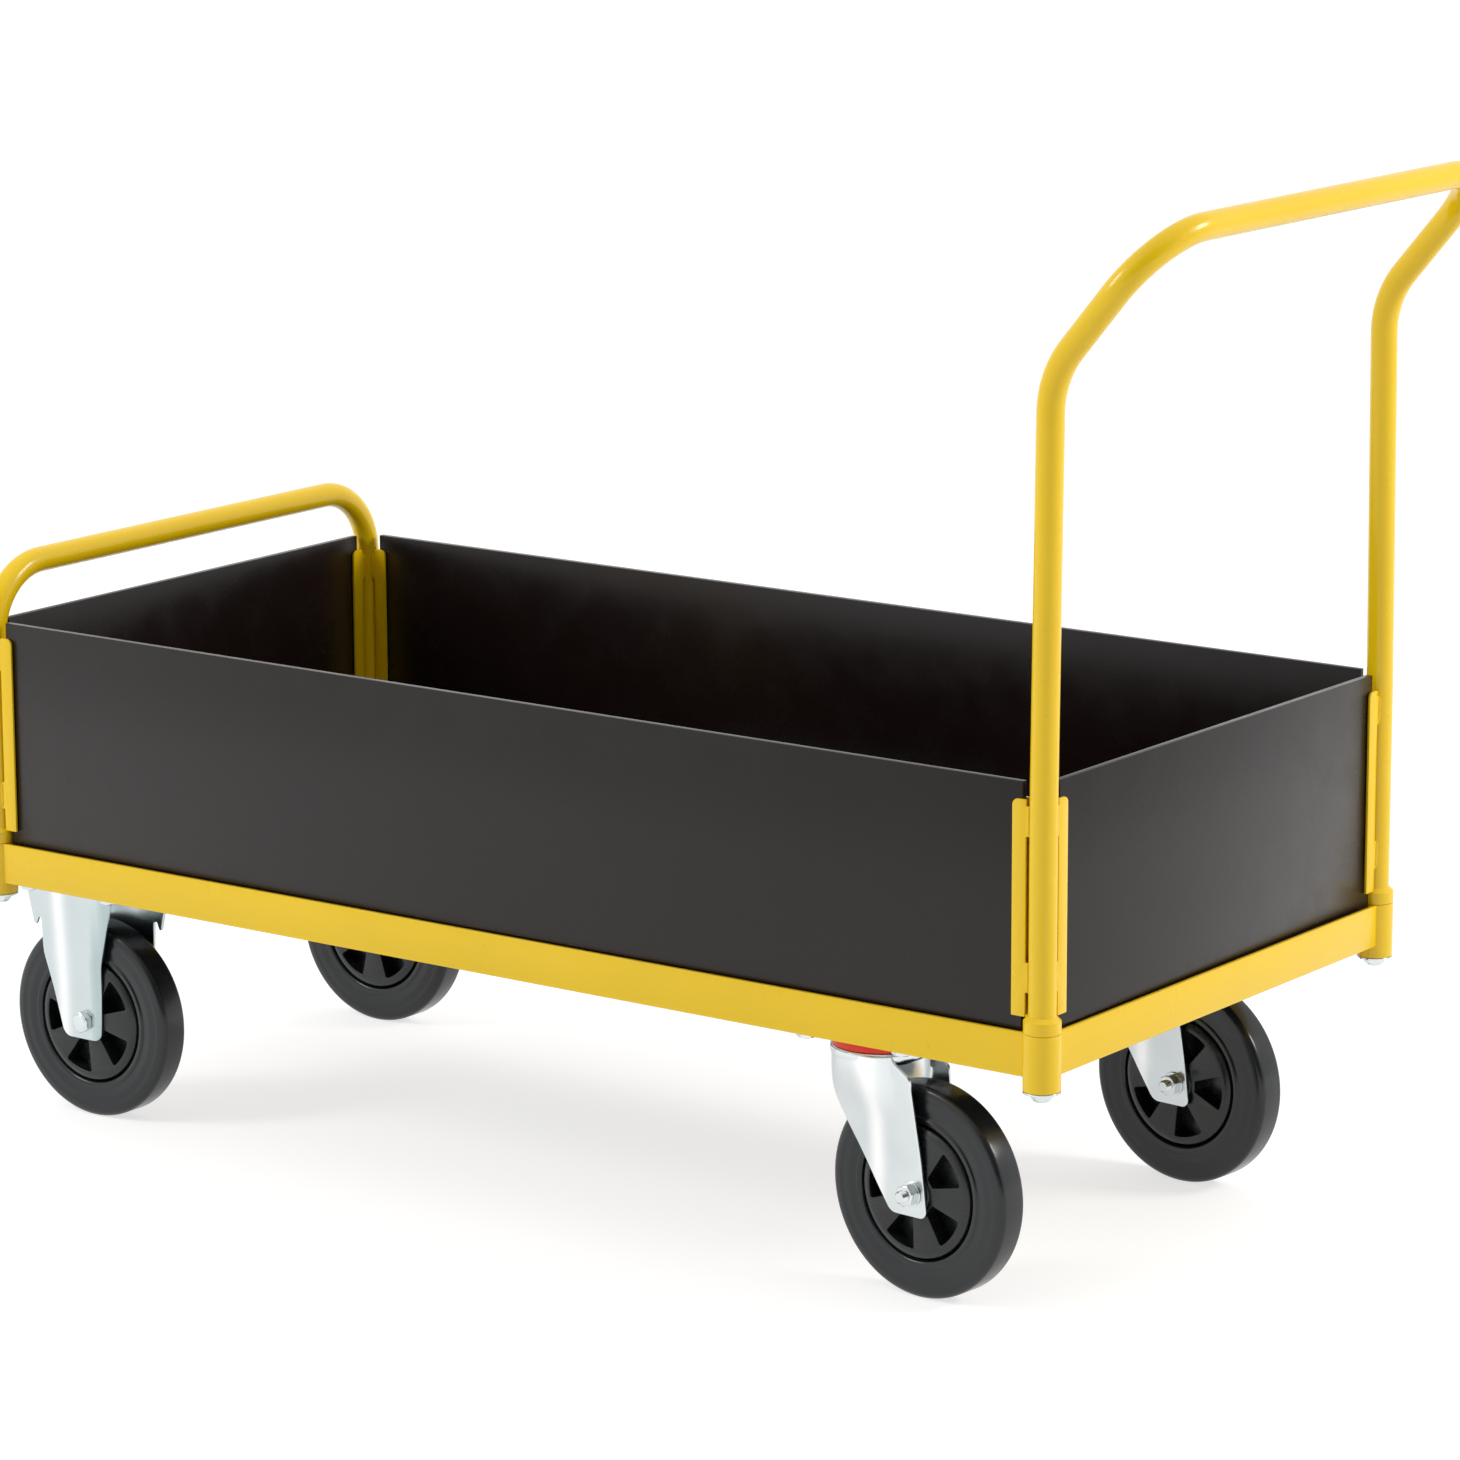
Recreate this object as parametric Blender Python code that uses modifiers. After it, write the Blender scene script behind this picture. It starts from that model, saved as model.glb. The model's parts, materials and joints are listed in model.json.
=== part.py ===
"""Warehouse trolley: a steel angle frame on two fixed and two swivel casters, with a push
handle, a low end hoop and four plywood sides held between strips welded to the tubes.

Metres, +Z up. +X points to the push handle and the swivel casters, -Y is the left side.
Inside the script x = 0 is the middle of the deck frame. The root empty then shifts everything
so that the world origin is on the floor, under the centre of the whole object's box.
"""
import math

import bmesh
import bpy
from mathutils import Matrix, Vector

# Clearance between pieces that touch
GAP = 0.0003

# Deck frame of steel angle, outer sizes
FRAME_LENGTH = 1.260
FRAME_WIDTH = 0.596
RAIL_SIZE = 0.040
RAIL_WALL = 0.004
CASTER_HEIGHT = 0.245
BAR_WIDTH = 0.040

# Corner sockets and the tubes that stand in them
CORNER_INSET = 0.0095
TUBE_DIAMETER = 0.025
TUBE_WALL = 0.002
SOCKET_DIAMETER = 0.034
SOCKET_WALL = 0.004
SOCKET_DROP = 0.012
FOOT_CLEARANCE = 0.0006
COLLAR_HEIGHT = 0.0112
COLLAR_TAPER = 0.004
PLUG_LENGTH = 0.025
PLUG_RECESS = 0.001

# Fixing under each socket
SOCKET_BOLT_DIAMETER = 0.010
SOCKET_BOLT_FLATS = 0.017
SOCKET_BOLT_HEAD = 0.0045
SOCKET_BOLT_DOME = 0.004
SOCKET_BOLT_DOME_DIAMETER = 0.0153
SOCKET_BOLT_TIP_DIAMETER = 0.0085
SOCKET_BOLT_GRIP = 0.024
WASHER_WALL = 0.002

# Push handle and end hoop, heights of the bend and of the crossbar's centre line
HANDLE_BEND_HEIGHT = 0.865
HANDLE_SLANT = math.radians(40.0)
HANDLE_SLANT_LENGTH = 0.168
HANDLE_BEND_RADIUS = 0.090
HANDLE_CORNER_RADIUS = 0.070
HANDLE_PINCH = 0.006
HOOP_HEIGHT = 0.560
HOOP_CORNER_RADIUS = 0.070

# Plywood deck and sides
DECK_WALL = 0.009
DECK_EDGE_GAP = 0.001
DECK_NOTCH_GAP = 0.0015
PANEL_WALL = 0.0065
PANEL_HEIGHT = 0.250
PANEL_INSET = 0.006
PANEL_END_GAP = 0.0075

# Flat strips welded to the tubes, which hold the panels' ends
HOLDER_LENGTH = 0.195
HOLDER_LIFT = 0.0135
HOLDER_WIDTH = 0.0142
HOLDER_WALL = 0.0025
HOLDER_CLEARANCE = 0.0005
HOLDER_CORNER_RADIUS = 0.006
WELD_OFFSET = 0.0035
WELD_LENGTH = 0.027
WELD_TOP_NOTCH = 0.006
WELD_FOOT_NOTCH = 0.022
WELD_BITE = 0.35

# Casters: plates, their bolts and where they sit
PLATE_LENGTH = 0.138
PLATE_WIDTH = 0.105
PLATE_WALL = 0.005
PLATE_CORNER_RADIUS = 0.014
PLATE_PITCH_X = 0.105
PLATE_PITCH_Y = 0.084
PLATE_BOLT_DIAMETER = 0.010
PLATE_BOLT_HEAD_DIAMETER = 0.016
PLATE_BOLT_CROWN_DIAMETER = 0.0096
PLATE_BOLT_HEAD = 0.0035
PLATE_BOLT_END = 0.0015
PLATE_NUT_FLATS = 0.017
PLATE_NUT_HEIGHT = 0.0065
BOLT_HOLE_GAP = 0.0004
CASTER_SIDE_INSET = 0.0755
SWIVEL_END_INSET = 0.227
FIXED_END_INSET = 0.0785
SWIVEL_OFFSET = 0.056
SWIVEL_TURN = math.radians(-5.0)

# Forks
FORK_WALL = 0.003
FORK_INNER_WIDTH = 0.043
CROWN_DIAMETER = 0.093
CROWN_RIM = 0.008
CROWN_TAPER = 0.006
CROWN_DEPTH = 0.0125
LEG_BELOW_AXLE = 0.0215
LEG_CORNER_RADIUS = 0.010
LEG_BITE = 0.001
LEG_FOLD_RISE = 0.030
LEG_SPLAY = 0.0075

# Outline of a swivel fork's leg: its top on both sides of the kingpin, the knee of its front edge
# above the axle, and its foot on both sides of the axle
SWIVEL_LEG_FRONT = 0.0345
SWIVEL_LEG_BACK = 0.057
SWIVEL_LEG_BACK_RADIUS = 0.014
SWIVEL_LEG_KNEE = 0.077
SWIVEL_LEG_KNEE_RADIUS = 0.090
SWIVEL_FOOT_FRONT = 0.024
SWIVEL_FOOT_BACK = 0.018

# Outline of a fixed fork's leg as (distance from the axle, height above it), down the flared
# edge with its relief notch, and up the edge that is drawn in; then its corners' radii
FIXED_LEG_TOP_FRONT = 0.069
FIXED_LEG_TOP_BACK = 0.0445
FIXED_LEG_FLARE = [(-0.069, 0.128), (-0.0615, 0.088), (-0.0555, 0.1), (-0.052, 0.1), (-0.0525, 0.065)]
FIXED_LEG_FLARE_RADII = [0.030, 0.0015, 0, 0, 0.040]
FIXED_LEG_BACK = [(0.0225, 0.058), (0.0425, 0.127)]
FIXED_LEG_BACK_RADII = [0.070, 0]
FIXED_FOOT_FRONT = 0.0275
FIXED_FOOT_BACK = 0.0195
FIXED_LEG_BELOW_AXLE = 0.019

# Swivel head between the plate and the fork's crown
HEAD_ROOM = 0.012
SEAL_WALL = 0.009
SEAL_EDGE = 0.0015
RACE_BORE = 0.028
RACE_DIAMETER = 0.070
KINGPIN_DIAMETER = 0.012
KINGPIN_HEAD_DIAMETER = 0.022
KINGPIN_TIP_DIAMETER = 0.0132
KINGPIN_HEAD = 0.006

# Wheels
WHEEL_DIAMETER = 0.200
TYRE_WIDTH = 0.036
TREAD_WIDTH = 0.027
SHOULDER_DIAMETER = 0.193
SIDEWALL_DIAMETER = 0.160
SEAM_DIAMETER = 0.135
RIM_DIAMETER = 0.127
RIM_WIDTH = 0.025
WEB_DIAMETER = 0.104
WEB_WALL = 0.038
HUB_DIAMETER = 0.036
HUB_BORE = 0.023
HUB_END_GAP = 0.0008
SPOKE_COUNT = 5
WINDOW_INNER_RADIUS = 0.0205
WINDOW_OUTER_RADIUS = 0.0505
WINDOW_ANGLE = math.radians(37.0)
WINDOW_FOOT_SHARE = 0.75
WINDOW_FLOOR = 0.004
TYRE_SHOULDER_STEP = 0.003
TYRE_SIDE_STEP = 0.001
WHEEL_TURNS = {
    "handle_left": math.radians(34.0),
    "hoop_left": math.radians(38.0),
    "handle_right": math.radians(-2.0),
    "hoop_right": math.radians(20.0),
}
BEARING_CLEARANCE = 0.0001
AXLE_DIAMETER = 0.012
AXLE_FLATS = 0.019
AXLE_HEAD = 0.0075
AXLE_NUT = 0.010
AXLE_END = 0.0065

# How finely round things are drawn
WHEEL_STEPS = 28
CROWN_STEPS = 24
TUBE_STEPS = 16
SMALL_STEPS = 8
TUBE_SIDE_STEPS = 3
BEND_STEP = math.radians(15.0)
LEG_BEND_STEP = math.radians(24.0)
MERGE = 0.00001

# Heights and places that follow
RAIL_BOTTOM = CASTER_HEIGHT
RAIL_TOP = RAIL_BOTTOM + RAIL_SIZE
DECK_BOTTOM = RAIL_BOTTOM + RAIL_WALL + GAP
DECK_TOP = DECK_BOTTOM + DECK_WALL
PANEL_BOTTOM = DECK_TOP + GAP
HOLDER_BOTTOM = RAIL_TOP + HOLDER_LIFT
SOCKET_BOTTOM = RAIL_BOTTOM - SOCKET_DROP
LEG_FOOT = SOCKET_BOTTOM + FOOT_CLEARANCE
PLATE_BOTTOM = RAIL_BOTTOM - GAP - PLATE_WALL
CROWN_TOP = PLATE_BOTTOM - HEAD_ROOM
CASTER_SPREAD = FRAME_WIDTH / 2 - CASTER_SIDE_INSET
SWIVEL_PLACE = FRAME_LENGTH / 2 - SWIVEL_END_INSET
FIXED_PLACE = FIXED_END_INSET - FRAME_LENGTH / 2
AXLE_HEIGHT = WHEEL_DIAMETER / 2
FORK_OUTER = FORK_INNER_WIDTH / 2 + FORK_WALL
LEG_X = FRAME_LENGTH / 2 - CORNER_INSET
LEG_Y = FRAME_WIDTH / 2 - CORNER_INSET
TUBE_RADIUS = TUBE_DIAMETER / 2
SOCKET_RADIUS = SOCKET_DIAMETER / 2
HANDLE_TOP = HANDLE_BEND_HEIGHT + HANDLE_SLANT_LENGTH * math.cos(HANDLE_SLANT)
HANDLE_REACH = LEG_X + HANDLE_SLANT_LENGTH * math.sin(HANDLE_SLANT)
PANEL_END = CORNER_INSET + TUBE_RADIUS + PANEL_END_GAP
HANDLE_EXTENT = HANDLE_REACH + TUBE_RADIUS
HOOP_EXTENT = max(LEG_X + SOCKET_RADIUS, WHEEL_DIAMETER / 2 - FIXED_PLACE)
ORIGIN_SHIFT = (HANDLE_EXTENT - HOOP_EXTENT) / 2

ENDS = {"hoop": -1, "handle": 1}
SIDES = {"left": -1, "right": 1}
CORNERS = [(end + "_" + side, ENDS[end], SIDES[side]) for end in ENDS for side in SIDES]

COLOURS = {
    "yellow_paint": ((0.76, 0.52, 0.03), 0.0, 0.30),
    "phenolic_ply": ((0.045, 0.037, 0.036), 0.0, 0.45),
    "zinc": ((0.72, 0.75, 0.77), 1.0, 0.32),
    "seal_red": ((0.75, 0.05, 0.02), 0.0, 0.40),
    "rubber": ((0.035, 0.035, 0.037), 0.0, 0.55),
    "black_plastic": ((0.02, 0.02, 0.022), 0.0, 0.35),
    "bearing_steel": ((0.45, 0.46, 0.48), 1.0, 0.30),
}


def clear_scene():
    for item in list(bpy.data.objects):
        bpy.data.objects.remove(item, do_unlink=True)


def make_collection(name):
    group = bpy.data.collections.new(name)
    bpy.context.scene.collection.children.link(group)
    return group


def make_material(name):
    """A Principled material from COLOURS, one for each piece."""
    colour, metallic, roughness = COLOURS[name]
    material = bpy.data.materials.new(name)
    material.use_nodes = True
    shader = material.node_tree.nodes["Principled BSDF"]
    shader.inputs["Base Color"].default_value = (*colour, 1.0)
    shader.inputs["Metallic"].default_value = metallic
    shader.inputs["Roughness"].default_value = roughness
    return material


def empty(name, parent=None, location=(0, 0, 0), turn=0.0):
    """A joint or placing axis: pieces under it use its frame."""
    axis = bpy.data.objects.new(name, None)
    axis.parent = parent
    axis.location = location
    axis.rotation_euler = (0, 0, turn)
    TROLLEY.objects.link(axis)
    return axis


def piece(name, mesh, finish, parent, location=(0, 0, 0), rotation=(0, 0, 0)):
    """One physical piece as an object of its own."""
    item = bpy.data.objects.new(name, mesh)
    item.parent = parent
    item.location = location
    item.rotation_euler = rotation
    TROLLEY.objects.link(item)
    mesh.materials.clear()
    mesh.materials.append(make_material(finish))
    mesh.name = name
    return item


def cutter(name, mesh, parent, location=(0, 0, 0), rotation=(0, 0, 0)):
    """A shape that only takes part in a Boolean."""
    item = bpy.data.objects.new(name, mesh)
    item.parent = parent
    item.location = location
    item.rotation_euler = rotation
    item.hide_render = True
    item.display_type = "WIRE"
    CUTTERS.objects.link(item)
    return item


def boolean(item, other, operation):
    step = item.modifiers.new(operation.lower() + "_" + other.name, "BOOLEAN")
    step.operation = operation
    step.solver = "EXACT"
    step.object = other


def cut(item, *others):
    for other in others:
        boolean(item, other, "DIFFERENCE")


def unite(item, *others):
    for other in others:
        boolean(item, other, "UNION")


def tidy_mesh(mesh, smooth=False):
    """Weld loose caps, point all faces outwards and shade round pieces smooth."""
    work = bmesh.new()
    work.from_mesh(mesh)
    bmesh.ops.remove_doubles(work, verts=work.verts, dist=MERGE)
    bmesh.ops.recalc_face_normals(work, faces=work.faces)
    work.to_mesh(mesh)
    work.free()
    if smooth:
        mesh.shade_smooth()
        mesh.set_sharp_from_angle(angle=math.radians(35.0))
    return mesh


def evaluated_mesh(source, smooth=False):
    """The source object's mesh after its modifiers; the source itself is removed."""
    TROLLEY.objects.link(source)
    graph = bpy.context.evaluated_depsgraph_get()
    mesh = bpy.data.meshes.new_from_object(source.evaluated_get(graph))
    bpy.data.objects.remove(source, do_unlink=True)
    return tidy_mesh(mesh, smooth)


def block_mesh(size):
    work = bmesh.new()
    bmesh.ops.create_cube(work, size=1.0)
    bmesh.ops.scale(work, vec=Vector(size), verts=work.verts)
    mesh = bpy.data.meshes.new("block")
    work.to_mesh(mesh)
    work.free()
    return mesh


def block_between(low, high):
    """A block's mesh and its centre, from two opposite corners."""
    low, high = Vector(low), Vector(high)
    size = [abs(b - a) for a, b in zip(low, high)]
    return block_mesh(size), (low + high) / 2


def rod_mesh(diameter, length, sides=SMALL_STEPS):
    """A prism or round rod along Z, from z = 0 up. Six sides give a hexagon."""
    work = bmesh.new()
    bmesh.ops.create_cone(work, cap_ends=True, segments=sides, radius1=diameter / 2,
                          radius2=diameter / 2, depth=length)
    bmesh.ops.translate(work, vec=(0, 0, length / 2), verts=work.verts)
    mesh = bpy.data.meshes.new("rod")
    work.to_mesh(mesh)
    work.free()
    return mesh


def turned_mesh(profile, steps, closed=True, phase=0.0):
    """A turned shape about Z. The profile is (radius, z), down its outer side first."""
    mesh = bpy.data.meshes.new("profile")
    points = [(r * math.cos(phase), r * math.sin(phase), z) for r, z in profile]
    edges = [(i, i + 1) for i in range(len(points) - 1)]
    if closed:
        edges.append((len(points) - 1, 0))
    mesh.from_pydata(points, edges, [])
    source = bpy.data.objects.new("profile", mesh)
    screw = source.modifiers.new("turn", "SCREW")
    screw.axis = "Z"
    screw.angle = math.tau
    screw.steps = steps
    screw.render_steps = steps
    screw.use_merge_vertices = True
    screw.merge_threshold = MERGE
    return evaluated_mesh(source, smooth=True)


def ring_mesh(inner, outer, low, high, steps=TUBE_STEPS):
    """A plain ring or bush, from its diameters and heights."""
    return turned_mesh([(outer / 2, high), (outer / 2, low), (inner / 2, low), (inner / 2, high)], steps)


def fillet(before, corner, after, radius, step):
    """Points of an arc that rounds a corner of a path, one for each step of turn."""
    back = (before - corner).normalized()
    ahead = (after - corner).normalized()
    bend = math.pi - back.angle(ahead)
    if radius <= 0 or bend < 0.001:
        return [corner]
    reach = radius * math.tan(bend / 2)
    start = corner + back * reach
    centre = corner + (back + ahead).normalized() * math.hypot(reach, radius)
    spoke = start - centre
    axis = spoke.cross(corner + ahead * reach - centre).normalized()
    count = max(1, math.ceil(bend / step))
    turns = [bend * i / count for i in range(count + 1)]
    return [centre + Matrix.Rotation(turn, 3, axis) @ spoke for turn in turns]


def rounded_path(corners, radii, closed=False, step=BEND_STEP):
    """A path whose corners are rounded by the radii given for each."""
    points = [Vector(corner).to_3d() for corner in corners]
    path = []
    for i, corner in enumerate(points):
        if not closed and i in (0, len(points) - 1):
            path.append(corner)
            continue
        path += fillet(points[i - 1], corner, points[(i + 1) % len(points)], radii[i], step)
    return path


def curve_object(points, closed, dimensions):
    curve = bpy.data.curves.new("path", "CURVE")
    curve.dimensions = dimensions
    spline = curve.splines.new("POLY")
    spline.points.add(len(points) - 1)
    for spot, place in zip(spline.points, points):
        spot.co = (*place, 1.0)
    spline.use_cyclic_u = closed
    curve.resolution_u = 1
    curve.render_resolution_u = 1
    return bpy.data.objects.new("path", curve)


def slab_mesh(corners, radii, wall):
    """A flat outline in the XY plane, as thick as the wall, about z = 0."""
    source = curve_object(rounded_path(corners, radii, True, LEG_BEND_STEP), True, "2D")
    source.data.fill_mode = "BOTH"
    source.data.extrude = wall / 2
    return evaluated_mesh(source)


def tube_mesh(path):
    """A hollow bent tube, open at both ends."""
    source = curve_object(path, False, "3D")
    source.data.fill_mode = "FULL"
    source.data.bevel_depth = TUBE_RADIUS
    source.data.bevel_resolution = TUBE_SIDE_STEPS
    shell = bpy.data.objects.new("shell", evaluated_mesh(source))
    wall = shell.modifiers.new("wall", "SOLIDIFY")
    wall.thickness = TUBE_WALL
    wall.offset = -1.0
    return evaluated_mesh(shell, smooth=True)


def repeated_mesh(mesh, places):
    """Copies of one mesh at several places, to be cut or welded together in one step."""
    work = bmesh.new()
    for place in places:
        start = len(work.verts)
        work.from_mesh(mesh)
        work.verts.ensure_lookup_table()
        bmesh.ops.transform(work, matrix=place, verts=work.verts[start:])
    group = bpy.data.meshes.new("group")
    work.to_mesh(group)
    work.free()
    return tidy_mesh(group)


def solid_of(item):
    """The mesh of a piece that is made only to be repeated, with its cuts carried out."""
    graph = bpy.context.evaluated_depsgraph_get()
    mesh = bpy.data.meshes.new_from_object(item.evaluated_get(graph))
    bpy.data.objects.remove(item, do_unlink=True)
    return tidy_mesh(mesh)


def corner_places():
    """The four posts' places."""
    return [Matrix.Translation((end * LEG_X, side * LEG_Y, 0)) for _, end, side in CORNERS]


def caster_centres():
    """The middle of each caster's top plate: two fixed ones and two swivel ones."""
    return [(x, side * CASTER_SPREAD) for x in (FIXED_PLACE, SWIVEL_PLACE) for side in SIDES.values()]


def plate_bolt_places(centres):
    """The four bolts of each caster plate whose centre is given."""
    places = []
    for x, y in centres:
        for dx in (-PLATE_PITCH_X / 2, PLATE_PITCH_X / 2):
            for dy in (-PLATE_PITCH_Y / 2, PLATE_PITCH_Y / 2):
                places.append(Matrix.Translation((x + dx, y + dy, 0)))
    return places


def make_hole_cutters():
    """Cutters that several pieces share: the plate bolts' holes and the sockets' outsides."""
    hole = rod_mesh(PLATE_BOLT_DIAMETER + 2 * BOLT_HOLE_GAP, DECK_TOP - PLATE_BOTTOM + 2 * PLATE_WALL)
    hole.transform(Matrix.Translation((0, 0, PLATE_BOTTOM - PLATE_WALL)))
    holes = cutter("plate_bolt_holes", repeated_mesh(hole, plate_bolt_places(caster_centres())), ROOT)
    coping = rod_mesh(SOCKET_DIAMETER + 2 * GAP, 2 * RAIL_SIZE, TUBE_STEPS)
    coping.transform(Matrix.Translation((0, 0, RAIL_BOTTOM - RAIL_SIZE / 2)))
    copings = cutter("socket_copings", repeated_mesh(coping, corner_places()), ROOT)
    return holes, copings


def angle_outline(sign):
    """Section of an angle bar: its heel at the outer lower corner, one leg up, one inwards."""
    s, w = RAIL_SIZE, RAIL_WALL
    points = [(0, 0), (s, 0), (s, w), (w, w), (w, s), (0, s)]
    return [(sign * a, b) for a, b in points]


def make_side_rails(holes, copings):
    """Long angle bars between the sockets, with holes for the casters' outer bolts."""
    for side, sign in SIDES.items():
        mesh = slab_mesh(angle_outline(-sign), [0] * 6, FRAME_LENGTH - 2 * (RAIL_WALL + GAP))
        rail = piece("side_rail_" + side, mesh, "yellow_paint", ROOT,
                     (0, sign * FRAME_WIDTH / 2, RAIL_BOTTOM), (math.pi / 2, 0, math.pi / 2))
        cut(rail, copings, holes)


def make_end_rails(holes, copings):
    """Short angle bars between the sockets. Their flanges stop at the side rails' flanges."""
    for end, sign in ENDS.items():
        mesh = slab_mesh(angle_outline(sign), [0] * 6, FRAME_WIDTH)
        rail = piece("end_rail_" + end, mesh, "yellow_paint", ROOT,
                     (sign * FRAME_LENGTH / 2, 0, RAIL_BOTTOM), (math.pi / 2, 0, math.pi))
        cut(rail, copings, holes)
        for side, across in SIDES.items():
            low = (sign * (FRAME_LENGTH / 2 - RAIL_WALL), across * (FRAME_WIDTH / 2 + RAIL_WALL),
                   RAIL_BOTTOM - RAIL_WALL)
            high = (sign * (FRAME_LENGTH / 2 - RAIL_SIZE - RAIL_WALL),
                    across * (FRAME_WIDTH / 2 - RAIL_SIZE - GAP), RAIL_BOTTOM + 2 * RAIL_WALL)
            mesh, centre = block_between(low, high)
            cut(rail, cutter("flange_end_" + end + "_" + side, mesh, ROOT, centre))


def make_caster_bars(holes):
    """Flat bars across the frame for the casters' bolts. At the hoop end the outer bolts go
    through the end rail instead."""
    half = FRAME_WIDTH / 2 - RAIL_SIZE - GAP
    reach = PLATE_PITCH_X / 2
    for name, middle in (("hoop", FIXED_PLACE + reach), ("middle", SWIVEL_PLACE - reach),
                         ("handle", SWIVEL_PLACE + reach)):
        mesh, spot = block_between((middle - BAR_WIDTH / 2, -half, RAIL_BOTTOM),
                                   (middle + BAR_WIDTH / 2, half, RAIL_BOTTOM + RAIL_WALL))
        bar = piece("caster_bar_" + name, mesh, "yellow_paint", ROOT, spot)
        cut(bar, holes)


def make_sockets():
    bore = SOCKET_DIAMETER - 2 * SOCKET_WALL
    for name, end, side in CORNERS:
        piece("corner_socket_" + name, ring_mesh(bore, SOCKET_DIAMETER, SOCKET_BOTTOM, RAIL_TOP),
              "yellow_paint", ROOT, (end * LEG_X, side * LEG_Y, 0))


def make_deck(holes):
    """The deck board lies on the flanges and is notched around the sockets."""
    x = FRAME_LENGTH / 2 - RAIL_WALL - DECK_EDGE_GAP
    y = FRAME_WIDTH / 2 - RAIL_WALL - DECK_EDGE_GAP
    notch = CORNER_INSET + SOCKET_RADIUS + DECK_NOTCH_GAP
    nx = FRAME_LENGTH / 2 - notch
    ny = FRAME_WIDTH / 2 - notch
    middle = (DECK_BOTTOM + DECK_TOP) / 2
    deck = piece("deck_board", block_mesh((2 * x, 2 * y, DECK_WALL)), "phenolic_ply", ROOT, (0, 0, middle))
    corner = block_mesh((2 * (x - nx), 2 * (y - ny), 2 * DECK_WALL))
    places = [Matrix.Translation((end * x, side * y, middle)) for _, end, side in CORNERS]
    cut(deck, cutter("deck_notches", repeated_mesh(corner, places), ROOT), holes)


def make_panels():
    """Four sides that stand on the deck. Each has its own empty, for those that lift out."""
    x = FRAME_LENGTH / 2 - PANEL_END
    y = FRAME_WIDTH / 2 - PANEL_END
    height = PANEL_BOTTOM + PANEL_HEIGHT / 2
    long_way = (2 * x, PANEL_WALL, PANEL_HEIGHT)
    short_way = (PANEL_WALL, 2 * y, PANEL_HEIGHT)
    side_y = FRAME_WIDTH / 2 - PANEL_INSET - PANEL_WALL / 2
    end_x = FRAME_LENGTH / 2 - PANEL_INSET - PANEL_WALL / 2
    for side, sign in SIDES.items():
        piece("panel_" + side, block_mesh(long_way), "phenolic_ply",
              empty("slide_" + side, ROOT, (0, sign * side_y, height)))
    for end, sign in ENDS.items():
        piece("panel_" + end + "_end", block_mesh(short_way), "phenolic_ply",
              empty("slide_" + end, ROOT, (sign * end_x, 0, height)))


def handle_path():
    """The legs stand upright as far as the strips reach. Above them they lean in a little, by
    HANDLE_PINCH at the bend."""
    top_y = LEG_Y - HANDLE_PINCH
    near = [(LEG_X, -LEG_Y, LEG_FOOT), (LEG_X, -LEG_Y, HOLDER_BOTTOM + HOLDER_LENGTH),
            (LEG_X, -top_y, HANDLE_BEND_HEIGHT), (HANDLE_REACH, -top_y, HANDLE_TOP)]
    far = [(x, -y, z) for x, y, z in reversed(near)]
    bend, corner = HANDLE_BEND_RADIUS, HANDLE_CORNER_RADIUS
    return rounded_path(near + far, [0, 0, bend, corner, corner, bend, 0, 0])


def hoop_path():
    near = [(-LEG_X, -LEG_Y, LEG_FOOT), (-LEG_X, -LEG_Y, HOOP_HEIGHT)]
    far = [(x, -y, z) for x, y, z in reversed(near)]
    return rounded_path(near + far, [0, HOOP_CORNER_RADIUS, HOOP_CORNER_RADIUS, 0])


def leg_places(end):
    """Where an end's two legs stand."""
    return [Matrix.Translation((ENDS[end] * LEG_X, side * LEG_Y, 0)) for side in SIDES.values()]


def collar_mesh():
    """A welded collar that rests on the socket. It bites into the tube's wall."""
    inner, outer = TUBE_RADIUS - TUBE_WALL / 2, SOCKET_RADIUS
    low = RAIL_TOP + GAP
    shoulder = low + COLLAR_HEIGHT
    return turned_mesh([(TUBE_RADIUS, shoulder + COLLAR_TAPER), (outer, shoulder), (outer, low), (inner, low),
                        (inner, shoulder + COLLAR_TAPER)], TUBE_STEPS)


def plug_mesh():
    """A threaded plug inside a tube's foot, for the bolt below the socket."""
    bore = SOCKET_BOLT_DIAMETER + 2 * BOLT_HOLE_GAP
    low = LEG_FOOT + PLUG_RECESS
    return ring_mesh(bore, TUBE_DIAMETER - TUBE_WALL, low, low + PLUG_LENGTH, SMALL_STEPS)


def strip_start(depth):
    """How far from the frame's corner a strip at this depth has bitten into the tube's wall."""
    nearest = min(abs(CORNER_INSET - depth), abs(CORNER_INSET - depth - HOLDER_WALL))
    return CORNER_INSET + math.sqrt((TUBE_RADIUS - WELD_BITE * TUBE_WALL) ** 2 - nearest ** 2)


def strip_outline(start):
    """A strip's outline as (distance from the corner, height). Two tabs reach the tube and
    are its weld runs; between and beyond them the strip stands off and leaves slots."""
    low, high = 0, HOLDER_LENGTH
    edge = start + WELD_OFFSET
    outer = edge + HOLDER_WIDTH
    tab = WELD_LENGTH
    foot = WELD_FOOT_NOTCH
    top = high - WELD_TOP_NOTCH
    points = [(edge, low), (outer, low), (outer, high), (edge, high), (edge, top), (start, top),
              (start, top - tab), (edge, top - tab), (edge, foot + tab), (start, foot + tab),
              (start, foot), (edge, foot)]
    radii = [0, 0, HOLDER_CORNER_RADIUS] + [0] * 9
    return points, radii


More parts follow.
